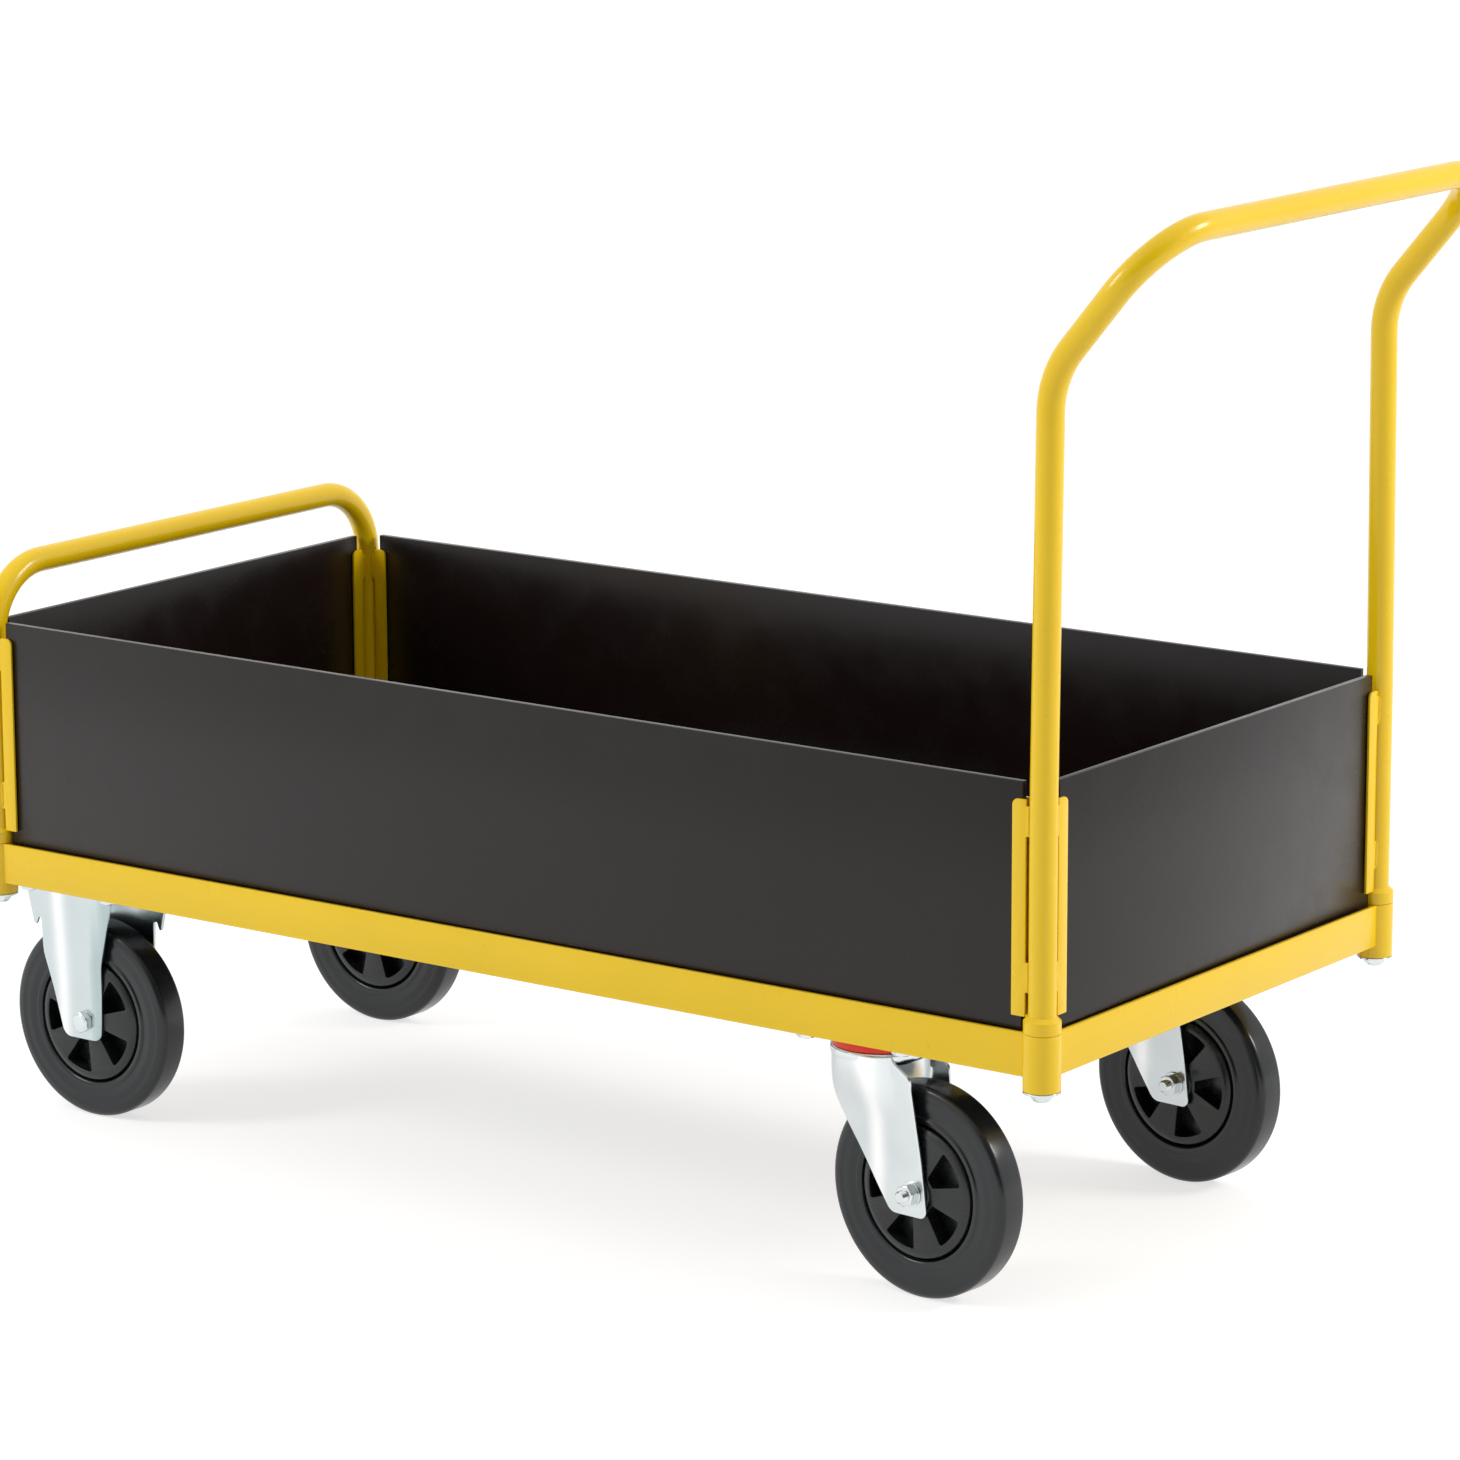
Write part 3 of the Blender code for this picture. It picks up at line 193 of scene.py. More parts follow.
# Camera, solved from straight edges and round outlines in the photograph
PHOTO_WIDTH = 1460
FOCAL_PIXELS = 5844.72
SENSOR_WIDTH = 36
CAMERA_AZIMUTH, CAMERA_ELEVATION, CAMERA_ROLL = 0.6339, 0.21782, 0.0040
CAMERA_DISTANCE = 5.62027
CAMERA_AIM = Vector((DECK_X + 0.07112, 0, 0.43381))

# Stage and light
FLOOR_REACH = 12
FLOOR_BOUNCE, FLOOR_SEEN, FLOOR_GLOW = (0.84, 0.84, 0.84), (0.50, 0.50, 0.50), 0.68
WORLD_LIGHT, WORLD_SEEN = 0.82, 1.0
DARK_TOWARDS = Vector((0.59, -0.79, 0.16))
DARK_START, DARK_FULL, DARK_LIGHT = 0.62, 0.95, 0.12
LAMP_SIZE = 1.2
LAMP_AIM = Vector((0, 0, 0.4))
LAMPS = {
    "left": (Vector((-2.56, -3.05, 2.7)), 65, (1.0, 1.0, 1.0)),
    "right": (Vector((3.52, 1.87, 2.7)), 86, (1.0, 0.96, 0.93)),
}

RECORD = frame["record"]
BODY_OF = {node: body for body, nodes in RECORD["behaviour"]["bodies"].items() for node in nodes}
SLOT_OF = {part["node"]: part["material_slot"] for part in RECORD["subparts"]}
JOINTS = {joint["name"]: joint for joint in frame["joints"]}


# Camera
def make_camera():
    flat = math.cos(CAMERA_ELEVATION)
    forward = Vector((-flat * math.sin(CAMERA_AZIMUTH), flat * math.cos(CAMERA_AZIMUTH),
                      -math.sin(CAMERA_ELEVATION)))
    right = forward.cross(Vector((0, 0, 1))).normalized()
    down = forward.cross(right)
    c, s = math.cos(CAMERA_ROLL), math.sin(CAMERA_ROLL)
    right, down = c * right + s * down, c * down - s * right
    place = CAMERA_AIM - forward * CAMERA_DISTANCE
    data = bpy.data.cameras.new("camera")
    data.sensor_width = SENSOR_WIDTH
    data.lens = FOCAL_PIXELS * SENSOR_WIDTH / PHOTO_WIDTH
    data.clip_end = 60
    camera = bpy.data.objects.new("camera", data)
    turn = Matrix((right, -down, -forward)).transposed().to_4x4()
    camera.matrix_world = Matrix.Translation(place) @ turn
    bpy.context.scene.collection.objects.link(camera)
    bpy.context.scene.camera = camera


# Materials
class Nodes:
    """Builds a node tree line by line."""

    def __init__(self, tree):
        self.tree = tree

    def add(self, kind, **values):
        node = self.tree.nodes.new(kind)
        for key, value in values.items():
            setattr(node, key, value)
        return node

    def link(self, source, target):
        self.tree.links.new(source, target)

    def span(self, fac, low, high, start=0.0, end=1.0, kind="LINEAR"):
        node = self.add("ShaderNodeMapRange", interpolation_type=kind)
        for key, value in (("From Min", low), ("From Max", high), ("To Min", start), ("To Max", end)):
            node.inputs[key].default_value = value
        self.link(fac, node.inputs["Value"])
        return node.outputs["Result"]

    def maths(self, operation, a, b):
        node = self.add("ShaderNodeMath", operation=operation)
        for socket, value in zip(node.inputs, (a, b)):
            if isinstance(value, (int, float)):
                socket.default_value = value
            else:
                self.link(value, socket)
        return node.outputs["Value"]


class Look(Nodes):
    """A material and what its shader is fed with."""

    def __init__(self, name):
        self.material = bpy.data.materials.new(name)
        self.material.use_nodes = True
        super().__init__(self.material.node_tree)
        self.shader = self.tree.nodes["Principled BSDF"]

    def coords(self):
        return self.add("ShaderNodeTexCoord").outputs["Object"]

    def set(self, **values):
        for key, value in values.items():
            socket = self.shader.inputs[key.replace("_", " ")]
            socket.default_value = (*value, 1.0) if isinstance(value, tuple) else value

    def noise(self, scale, detail, rough=0.5, stretch=None):
        node = self.add("ShaderNodeTexNoise")
        node.inputs["Scale"].default_value = scale
        node.inputs["Detail"].default_value = detail
        node.inputs["Roughness"].default_value = rough
        source = self.coords()
        if stretch:
            mapping = self.add("ShaderNodeMapping")
            mapping.inputs["Scale"].default_value = stretch
            self.link(source, mapping.inputs["Vector"])
            source = mapping.outputs["Vector"]
        self.link(source, node.inputs["Vector"])
        return node.outputs["Fac"]

    def ramp(self, fac, *stops):
        """Colours along a factor, from two or more of (position, colour)."""
        node = self.add("ShaderNodeValToRGB")
        while len(node.color_ramp.elements) < len(stops):
            node.color_ramp.elements.new(0.5)
        for element, (at, colour) in zip(node.color_ramp.elements, stops):
            element.position = at
            element.color = (*colour, 1.0)
        self.link(fac, node.inputs["Fac"])
        return node.outputs["Color"]

    def cloudy(self, dark, light, noise, light_from=0.7):
        """A colour that drifts between two shades."""
        return self.ramp(noise, (0.3, dark), (light_from, light))

    def patchy(self, smooth, rough, noise):
        """Makes the surface drift between two roughnesses."""
        self.to(self.span(noise, 0.3, 0.7, smooth, rough), "Roughness")

    def mix(self, fac, a, b):
        node = self.add("ShaderNodeMix", data_type="RGBA")
        for socket, value in ((node.inputs[0], fac), (node.inputs[6], a), (node.inputs[7], b)):
            if isinstance(value, tuple):
                socket.default_value = (*value, 1.0)
            else:
                self.link(value, socket)
        return node.outputs[2]

    def bump(self, height, strength, distance):
        node = self.add("ShaderNodeBump")
        node.inputs["Strength"].default_value = strength
        node.inputs["Distance"].default_value = distance
        self.link(height, node.inputs["Height"])
        self.to(node.outputs["Normal"], "Normal")

    def to(self, source, name):
        self.link(source, self.shader.inputs[name])


def paint_material():
    """Glossy powder coat with a faint orange peel, slightly cloudy, with a few darker specks."""
    look = Look("yellow_paint")
    cloud = look.cloudy((0.855, 0.560, 0.003), (0.905, 0.595, 0.005), look.noise(5, 4))
    speck = look.span(look.noise(190, 2), 0.745, 0.775)
    look.to(look.mix(look.maths("MULTIPLY", speck, 0.25), cloud, (0.50, 0.30, 0.01)), "Base Color")
    look.patchy(0.20, 0.28, look.noise(30, 3))
    look.set(Specular_IOR_Level=0.38, Coat_Weight=0.12, Coat_Roughness=0.05)
    look.bump(look.noise(240, 2), strength=0.05, distance=0.0005)
    return look.material


def board_material():
    """Dark phenolic film: nearly black, so that what it shows is mostly reflection, with fine
    grain telegraphing through and a few pale scuffs."""
    look = Look("phenolic_film")
    cloud = look.cloudy((0.0072, 0.0036, 0.0032), (0.0100, 0.0052, 0.0046), look.noise(4, 5, 0.6), 0.72)
    scuff = look.span(look.noise(30, 6, 0.7, stretch=(0.5, 0.5, 6.0)), 0.70, 0.80)
    look.to(look.mix(look.maths("MULTIPLY", scuff, 0.25), cloud, (0.05, 0.04, 0.035)), "Base Color")
    look.patchy(0.22, 0.30, look.noise(24, 4))
    look.set(Specular_IOR_Level=0.37)
    look.bump(look.noise(150, 4, 0.6, stretch=(1.0, 1.0, 9.0)), strength=0.05, distance=0.0004)
    return look.material


def edge_material(name, across, low, wall):
    """A board's sealed edge: dark paint over plies, worn through in small pale chips."""
    look = Look(name)
    split = look.add("ShaderNodeSeparateXYZ")
    look.link(look.coords(), split.inputs["Vector"])
    depth = look.maths("DIVIDE", look.maths("SUBTRACT", split.outputs[across], low), wall)
    ply = look.maths("PINGPONG", look.maths("MULTIPLY", depth, 5.0), 1.0)
    plies = look.ramp(ply, (0.25, (0.34, 0.24, 0.14)), (0.6, (0.16, 0.09, 0.05)))
    chips = look.span(look.noise(85, 5, 0.7), 0.63, 0.68)
    seal = look.cloudy((0.010, 0.007, 0.006), (0.022, 0.015, 0.012), look.noise(25, 3))
    look.to(look.mix(chips, seal, plies), "Base Color")
    look.patchy(0.50, 0.66, look.noise(60, 3))
    look.set(Specular_IOR_Level=0.16)
    chipped = look.maths("ADD", look.maths("MULTIPLY", chips, -0.8), look.noise(400, 3))
    look.bump(chipped, strength=0.18, distance=0.0005)
    return look.material


def zinc_material():
    """Bright zinc plate, slightly bluish and softly cloudy. A mesh's "tone" paints a highlight along
    a fold, and darkens it on the fixed forks, with painted shade most where their edge is rolled."""
    look = Look("zinc")
    cloud = look.cloudy((0.630, 0.680, 0.695), (0.730, 0.770, 0.780), look.noise(11, 3))
    tone = look.add("ShaderNodeAttribute", attribute_name="tone").outputs["Fac"]
    # Tone above zero mixes in a painted highlight colour; tone below zero mixes in a darker colour, which on a
    # rolled edge is painted shade.
    bright = look.mix(look.span(tone, 0.0, 1.0), cloud, (0.96, 0.97, 0.97))
    look.to(look.mix(look.span(tone, 0.0, -1.0), bright, (0.37, 0.47, 0.47)), "Base Color")
    look.patchy(0.17, 0.25, look.noise(30, 3))
    look.set(Metallic=1.0)
    look.bump(look.noise(60, 3, stretch=(1.0, 1.0, 0.15)), strength=0.04, distance=0.0008)
    return look.material


def rubber_material():
    """Solid rubber with a satin skin, faint bloom and moulding grain."""
    look = Look("rubber")
    cloud = look.cloudy((0.0066, 0.0088, 0.0108), (0.0115, 0.0140, 0.0162), look.noise(14, 4), 0.72)
    look.to(cloud, "Base Color")
    look.patchy(0.19, 0.27, look.noise(50, 4))
    look.set(Specular_IOR_Level=0.48)
    look.bump(look.noise(500, 2), strength=0.045, distance=0.0003)
    return look.material


def plastic_material():
    """Satin black plastic with a fine moulding grain."""
    look = Look("black_plastic")
    cloud = look.cloudy((0.0060, 0.0074, 0.0088), (0.0105, 0.0122, 0.0138), look.noise(40, 4, 0.6))
    look.to(cloud, "Base Color")
    look.patchy(0.22, 0.30, look.noise(120, 3))
    look.set(Specular_IOR_Level=0.5)
    look.bump(look.noise(500, 2), strength=0.04, distance=0.0003)
    return look.material


def seal_material():
    """Glossy orange-red plastic."""
    look = Look("seal_red")
    look.to(look.cloudy((0.80, 0.034, 0.010), (0.90, 0.048, 0.015), look.noise(50, 3)), "Base Color")
    look.patchy(0.26, 0.36, look.noise(90, 3))
    look.set(Specular_IOR_Level=0.35)
    look.bump(look.noise(500, 2), strength=0.05, distance=0.0003)
    return look.material


def steel_material():
    """Ground bearing steel."""
    look = Look("bearing_steel")
    look.to(look.cloudy((0.42, 0.43, 0.45), (0.52, 0.53, 0.55), look.noise(60, 4)), "Base Color")
    look.patchy(0.25, 0.38, look.noise(300, 3))
    look.set(Metallic=1.0)
    look.bump(look.noise(1500, 2), strength=0.1, distance=0.0002)
    return look.material


FINISH = {
    "yellow_paint": paint_material(),
    "phenolic_ply": board_material(),
    "zinc": zinc_material(),
    "rubber": rubber_material(),
    "black_plastic": plastic_material(),
    "seal_red": seal_material(),
    "bearing_steel": steel_material(),
}


def dress_cad():
    """Every CAD node that is carried over gets its slot's detailed material."""
    for node, item in frame["nodes"].items():
        for slot in item.material_slots:
            slot.material = FINISH[SLOT_OF[node]]


# Mesh helpers
def fillet(before, corner, after, radius, step):
    """Points of an arc that rounds a corner of a path, one for each step of turn."""
    back = (before - corner).normalized()
    ahead = (after - corner).normalized()
    bend = math.pi - back.angle(ahead)
    if radius <= 0 or bend < 0.001:
        return [corner]
    reach = radius * math.tan(bend / 2)
    start = corner + back * reach
    centre = corner + (back + ahead).normalized() * math.hypot(reach, radius)
    spoke = start - centre
    axis = spoke.cross(corner + ahead * reach - centre).normalized()
    count = max(1, math.ceil(bend / step))
    turns = [bend * i / count for i in range(count + 1)]
    return [centre + Matrix.Rotation(turn, 3, axis) @ spoke for turn in turns]


def rounded(corners, radii, closed=True, step=math.radians(9)):
    """A path whose corners are rounded by the radii given for each."""
    points = [Vector(corner).to_3d() for corner in corners]
    path = []
    for i, corner in enumerate(points):
        if not closed and i in (0, len(points) - 1):
            path.append(corner)
            continue
        path += fillet(points[i - 1], corner, points[(i + 1) % len(points)], radii[i], step)
    return path


def profile(*corners):
    """A closed turned profile from (radius, height, corner radius)."""
    path = rounded([(r, z) for r, z, _ in corners], [c for _, _, c in corners], step=math.radians(15))
    return [(point.x, point.y) for point in path]


def polar(radius, angle, height=0.0):
    return Vector((radius * math.cos(angle), radius * math.sin(angle), height))


def circle(radius, steps):
    return [polar(radius, math.tau * i / steps) for i in range(steps)]


def mesh_from(work):
    bmesh.ops.recalc_face_normals(work, faces=work.faces)
    mesh = bpy.data.meshes.new("shape")
    work.to_mesh(mesh)
    work.free()
    return mesh


def lathe(points, steps=WHEEL_STEPS):
    """A turned shape about Z from a closed profile of (radius, z)."""
    work = bmesh.new()
    turns = [math.tau * i / steps for i in range(steps)]
    rings = [[work.verts.new((r * math.cos(t), r * math.sin(t), z)) for t in turns] for r, z in points]
    for a, b in zip(rings, rings[1:] + rings[:1]):
        for i in range(steps):
            j = (i + 1) % steps
            work.faces.new((a[i], a[j], b[j], b[i]))
    bmesh.ops.remove_doubles(work, verts=work.verts, dist=1e-6)
    return mesh_from(work)


def baked(item):
    """The object's mesh after its modifiers; the object is removed."""
    bpy.context.scene.collection.objects.link(item)
    graph = bpy.context.evaluated_depsgraph_get()
    mesh = bpy.data.meshes.new_from_object(item.evaluated_get(graph))
    bpy.data.objects.remove(item, do_unlink=True)
    return mesh


def curve_object(loops, closed, flat, radii=None):
    curve = bpy.data.curves.new("path", "CURVE")
    curve.dimensions = "2D" if flat else "3D"
    for points in loops:
        spline = curve.splines.new("POLY")
        spline.points.add(len(points) - 1)
        for i, place in enumerate(points):
            spline.points[i].co = (*place, 1.0)
            if radii:
                spline.points[i].radius = radii[i]
        spline.use_cyclic_u = closed
    return bpy.data.objects.new("path", curve)


def slab(loops, wall, bevel, steps=1):
    """A flat outline in the XY plane with rounded edges, about z = 0. Further loops are holes."""
    item = curve_object(loops, True, True)
    item.data.fill_mode = "BOTH"
    item.data.extrude = wall / 2 - bevel
    item.data.bevel_depth = bevel
    item.data.bevel_resolution = steps
    item.data.offset = -bevel
    work = bmesh.new()
    work.from_mesh(baked(item))
    bmesh.ops.remove_doubles(work, verts=work.verts, dist=1e-6)
    return mesh_from(work)


def sweep(path, radius, sides, radii=None):
    """A round bar along a path, with closed ends."""
    item = curve_object([path], False, False, radii)
    item.data.fill_mode = "FULL"
    item.data.bevel_depth = radius
    item.data.bevel_resolution = sides
    item.data.use_fill_caps = True
    work = bmesh.new()
    work.from_mesh(baked(item))
    bmesh.ops.remove_doubles(work, verts=work.verts, dist=1e-6)
    return mesh_from(work)


def hexagon(flats, low, high, steps=72):
    """A hexagon head or nut about Z whose corners are turned off by a 30 degree cone."""
    inner = flats / 2
    start = 0.95 * inner
    drop = (inner / math.cos(math.pi / 6) - start) * math.tan(math.pi / 6)
    rows = 5
    work = bmesh.new()
    rings = []
    ends = [(low + drop * k / rows, drop * k / rows) for k in range(rows + 1)]
    ends += [(high - depth, depth) for _, depth in reversed(ends)]
    for z, depth in ends:
        cone = start + depth / math.tan(math.pi / 6)
        ring = []
        for i in range(steps):
            t = math.tau * i / steps
            side = inner / math.cos((t + math.pi / 6) % (math.pi / 3) - math.pi / 6)
            r = min(side, cone)
            ring.append(work.verts.new((r * math.cos(t), r * math.sin(t), z)))
        rings.append(ring)
    for a, b in zip(rings, rings[1:]):
        for i in range(steps):
            j = (i + 1) % steps
            work.faces.new((a[i], a[j], b[j], b[i]))
    work.faces.new(rings[0])
    work.faces.new(rings[-1])
    return mesh_from(work)


def joined(*parts):
    """One mesh of several, each given as (mesh, placing matrix)."""
    work = bmesh.new()
    for mesh, place in parts:
        start = len(work.verts)
        work.from_mesh(mesh)
        work.verts.ensure_lookup_table()
        bmesh.ops.transform(work, matrix=place, verts=work.verts[start:])
    return mesh_from(work)


HERE = Matrix.Identity(4)


def show(node, *parts, materials=None):
    """The detailed piece for a CAD node: it rides on the node's body and has its slot."""
    mesh = joined(*parts) if len(parts) > 1 or parts[0][1] != HERE else parts[0][0]
    mesh.shade_smooth()
    mesh.set_sharp_from_angle(angle=SHARP)
    mesh.materials.clear()
    for material in materials or [FINISH[SLOT_OF[node]]]:
        mesh.materials.append(material)
    item = bpy.data.objects.new(node + "_shape", mesh)
    bpy.context.scene.collection.objects.link(item)
    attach(item, BODY_OF[node])
    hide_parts(node)


def softened(node, width):
    """A copy of a CAD node's mesh with its flat faces made whole and its edges rounded."""
    work = bmesh.new()
    work.from_mesh(frame["nodes"][node].data)
    bmesh.ops.remove_doubles(work, verts=work.verts, dist=1e-5)
    bmesh.ops.dissolve_limit(work, angle_limit=math.radians(1), verts=work.verts, edges=work.edges)
    item = bpy.data.objects.new("soft", mesh_from(work))
    bevel = item.modifiers.new("edges", "BEVEL")
    bevel.width = width
    bevel.segments = 3
    bevel.limit_method = "ANGLE"
    bevel.angle_limit = math.radians(50)
    bevel.harden_normals = False
    return baked(item)


# Frame
def make_frame():
    """Rails and cross bars with the rounded edges of rolled steel, and the turned sockets."""
    for node in ("side_rail_left", "side_rail_right", "end_rail_hoop", "end_rail_handle",
                 "caster_bar_hoop", "caster_bar_middle", "caster_bar_handle"):
        show(node, (softened(node, RAIL_EDGE), HERE))
    outer, inner = SOCKET_RADIUS, SOCKET_RADIUS - SOCKET_WALL
    low, high = SOCKET_LOW.z, SOCKET_HIGH.z
    ring = lathe(profile((outer, high, 0.0006), (outer, low, 0.0007), (inner, low, 0.0005),
                         (inner, high, 0.0004)), 64)
    for end, side in CORNERS:
        show("corner_socket_" + end + "_" + side, (ring, leg_place(end, SIDES[side])))


def leg_place(end, side):
    return Matrix.Translation((LEG_X[end], side * LEG_Y, 0))


# Tubes
def bead(start, finish):
    """A short weld bead with a rippled back."""
    start, finish = Vector(start), Vector(finish)
    count = BEAD_RIPPLES * 4
    path = [start.lerp(finish, i / count) for i in range(count + 1)]
    radii = [0.88 + 0.12 * math.cos(math.pi * i / 2) for i in range(count + 1)]
    radii[0] = 0.45
    radii[-1] = 0.45
    return sweep(path, BEAD_RADIUS, 3, radii), HERE


def strip_start(depth):
    """How far from the frame's corner a strip at this depth has bitten into the tube's wall."""
    inset = FRAME_Y - LEG_Y
    nearest = min(abs(inset - depth), abs(inset - depth - STRIP_WALL))
    return inset + math.sqrt((TUBE_RADIUS - TAB_BITE) ** 2 - nearest ** 2)


def strip_mesh(start):
    """A strip with two tabs that reach the tube; between and beyond them are slots."""
    edge = start + TAB_REACH
    outer = edge + STRIP_WIDTH
    top = STRIP_LENGTH - TOP_NOTCH
    foot = FOOT_NOTCH
    points = [(edge, 0), (outer, 0), (outer, STRIP_LENGTH), (edge, STRIP_LENGTH), (edge, top), (start, top),
              (start, top - TAB_LENGTH), (edge, top - TAB_LENGTH), (edge, foot + TAB_LENGTH),
              (start, foot + TAB_LENGTH), (start, foot), (edge, foot)]
    small = 0.0009
    radii = [small, small, STRIP_CORNER_RADIUS, 0.002, small, 0, 0, small, small, 0, 0, small]
    return slab([rounded(points, radii)], STRIP_WALL, STRIP_EDGE)


def end_strips(end):
    """An end's strips with their weld beads: at each leg, outside and inside both boards."""
    upright = Matrix.Rotation(math.pi / 2, 4, "X")
    quarter = Matrix.Rotation(math.pi / 2, 4, "Z")
    outside = PANEL_DEPTH - STRIP_CLEARANCE - STRIP_WALL
    inside = PANEL_DEPTH + PANEL_WALL + STRIP_CLEARANCE
    along = ENDS[end]
    upper_tab = (STRIP_LENGTH - TOP_NOTCH - TAB_LENGTH, STRIP_LENGTH - TOP_NOTCH)
    lower_tab = (FOOT_NOTCH, FOOT_NOTCH + TAB_LENGTH)
    parts = []
    for depth, face in ((outside, -1), (inside, 1)):
        start = strip_start(depth)
        middle = depth + STRIP_WALL / 2
        off = face * STRIP_WALL / 2
        welded = [(strip_mesh(start), HERE)]
        for low, top in (upper_tab, lower_tab):
            line = start + BEAD_OFFSET
            welded.append(bead((line, low + BEAD_INSET, off), (line, top - BEAD_INSET, off)))
        flat = joined(*welded)
        for side in SIDES.values():
            across = Matrix.Translation((FRAME_X[end], side * (FRAME_Y - middle), STRIP_BOTTOM))
            across = across @ Matrix.Diagonal((-along, side, 1, 1)) @ upright
            endways = Matrix.Translation((FRAME_X[end] - along * middle, side * FRAME_Y, STRIP_BOTTOM))
            endways = endways @ Matrix.Diagonal((-along, -side, 1, 1)) @ quarter @ upright
            parts += [(flat, across), (flat, endways)]
    return parts


def collar_parts(end):
    """Welded collars, with a seam of bead round each leg where the collar's cone ends."""
    low = RAIL_HIGH + GAP
    shoulder = low + COLLAR_HEIGHT
    top = shoulder + COLLAR_TAPER
    inner = TUBE_RADIUS - 0.001
    ring = lathe(profile((inner, top, 0), (TUBE_RADIUS + 0.0002, top, 0), (SOCKET_RADIUS, shoulder, 0.0012),
                         (SOCKET_RADIUS, low, 0.0006), (inner, low, 0)), 64)
    parts = []
    for side in SIDES.values():
        parts.append((ring, leg_place(end, side)))
        turns = [math.radians(SEAM_MIDDLE_DEGREES[side] + SEAM_STEP_DEGREES * k) for k in range(-4, 5)]
        path = [polar(TUBE_RADIUS + SEAM_OFFSET, turn, top - SEAM_DROP) for turn in turns]
        radii = [0.4] + [0.85 + 0.15 * (k % 2) for k in range(len(path) - 2)] + [0.4]
        parts.append((sweep(path, SEAM_RADIUS, 3, radii), leg_place(end, side)))
    return parts


def handle_path():
    slant = (HANDLE_REACH - LEG_X["handle"]) / math.sin(HANDLE_SLANT)
    bend_z = HANDLE_TOP - slant * math.cos(HANDLE_SLANT)
    x, top_y = LEG_X["handle"], LEG_Y - HANDLE_PINCH
    near = [(x, -LEG_Y, SOCKET_LOW.z + FOOT_LIFT), (x, -LEG_Y, STRIP_BOTTOM + STRIP_LENGTH),
            (x, -top_y, bend_z), (HANDLE_REACH, -top_y, HANDLE_TOP)]
    far = [(x, -y, z) for x, y, z in reversed(near)]
    radii = [0, HANDLE_PINCH_RADIUS, HANDLE_BEND_RADIUS, HANDLE_CORNER_RADIUS]
    return rounded(near + far, radii + radii[::-1], False, TUBE_TURN_STEP)


def hoop_path():
    x = LEG_X["hoop"]
    near = [(x, -LEG_Y, SOCKET_LOW.z + FOOT_LIFT), (x, -LEG_Y, HOOP_TOP)]
    far = [(x, -y, z) for x, y, z in reversed(near)]
    corner = HOOP_CORNER_RADIUS
    return rounded(near + far, [0, corner, corner, 0], False, TUBE_TURN_STEP)


def make_tubes():
    for node, end, path in (("push_handle", "handle", handle_path()), ("end_hoop", "hoop", hoop_path())):
        tube = sweep(path, TUBE_RADIUS, TUBE_SIDES)
        show(node, (tube, HERE), *end_strips(end), *collar_parts(end))


# Boards
def board_piece(node, across):
    """A board with its film on the wide faces and its sealed edge round it."""
    low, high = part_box(node)
    work = bmesh.new()
    bmesh.ops.create_cube(work, size=1.0)
    bmesh.ops.scale(work, vec=high - low, verts=work.verts)
    bmesh.ops.translate(work, vec=(low + high) / 2, verts=work.verts)
    edges = list(work.edges)
    bmesh.ops.bevel(work, geom=edges, offset=BOARD_EDGE, segments=2, affect="EDGES", profile=0.5)
    for face in work.faces:
        face.material_index = 0 if abs(face.normal[across]) > 0.9 else 1
    mesh = bpy.data.meshes.new(node)
    work.to_mesh(mesh)
    work.free()
    edge = edge_material("board_edge_" + node, across, low[across], high[across] - low[across])
    show(node, (mesh, HERE), materials=[FINISH["phenolic_ply"], edge])


# Fixings
def bolt_end(radius, low, high):
    """A threaded bolt end about Z: pitch grooves and a chamfered tip."""
    chamfer = 2 * THREAD_DEPTH
    points = [(0, high), (radius - chamfer, high), (radius, high - chamfer)]
    for k in range(1, int((high - low) / THREAD_PITCH)):
        z = high - chamfer - k * THREAD_PITCH
        if z < low + THREAD_PITCH:
            break
        points += [(radius - THREAD_DEPTH, z + THREAD_PITCH / 2), (radius, z)]
    points += [(radius, low), (0, low)]
    return lathe(points, 40)


def make_socket_fixings():
    """Under each socket a washer and a hexagon bolt with a domed, chamfered head."""
    washer_low, washer_high = [point.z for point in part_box("socket_washer_handle_left")]
    shank_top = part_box("socket_bolt_handle_left")[1].z
    outer, bore = SOCKET_RADIUS, SOCKET_WASHER_BORE
    washer = lathe(profile((outer, washer_high, 0.0004), (outer, washer_low, 0.0006),
                           (bore, washer_low, 0.0003), (bore, washer_high, 0.0002)), 56)
    under = washer_low - GAP
    turns = [math.radians(9 * k) for k in range(11)]
    dome = [(DOME_RADIUS * math.cos(t), under - DOME_START - DOME_RISE * math.sin(t)) for t in turns]
    cap = lathe([(0, under - DOME_BACK)] + dome[:-1] + [(0, dome[-1][1])], 48)
    head = hexagon(NUT_FLATS, under - SOCKET_HEAD_HEIGHT, under)
    shank = bolt_end(SHANK_RADIUS, under - BITE, shank_top)
    for end, side in CORNERS:
        place = leg_place(end, SIDES[side])
        show("socket_washer_" + end + "_" + side, (washer, place))
        show("socket_bolt_" + end + "_" + side, (cap, place), (head, place), (shank, place))


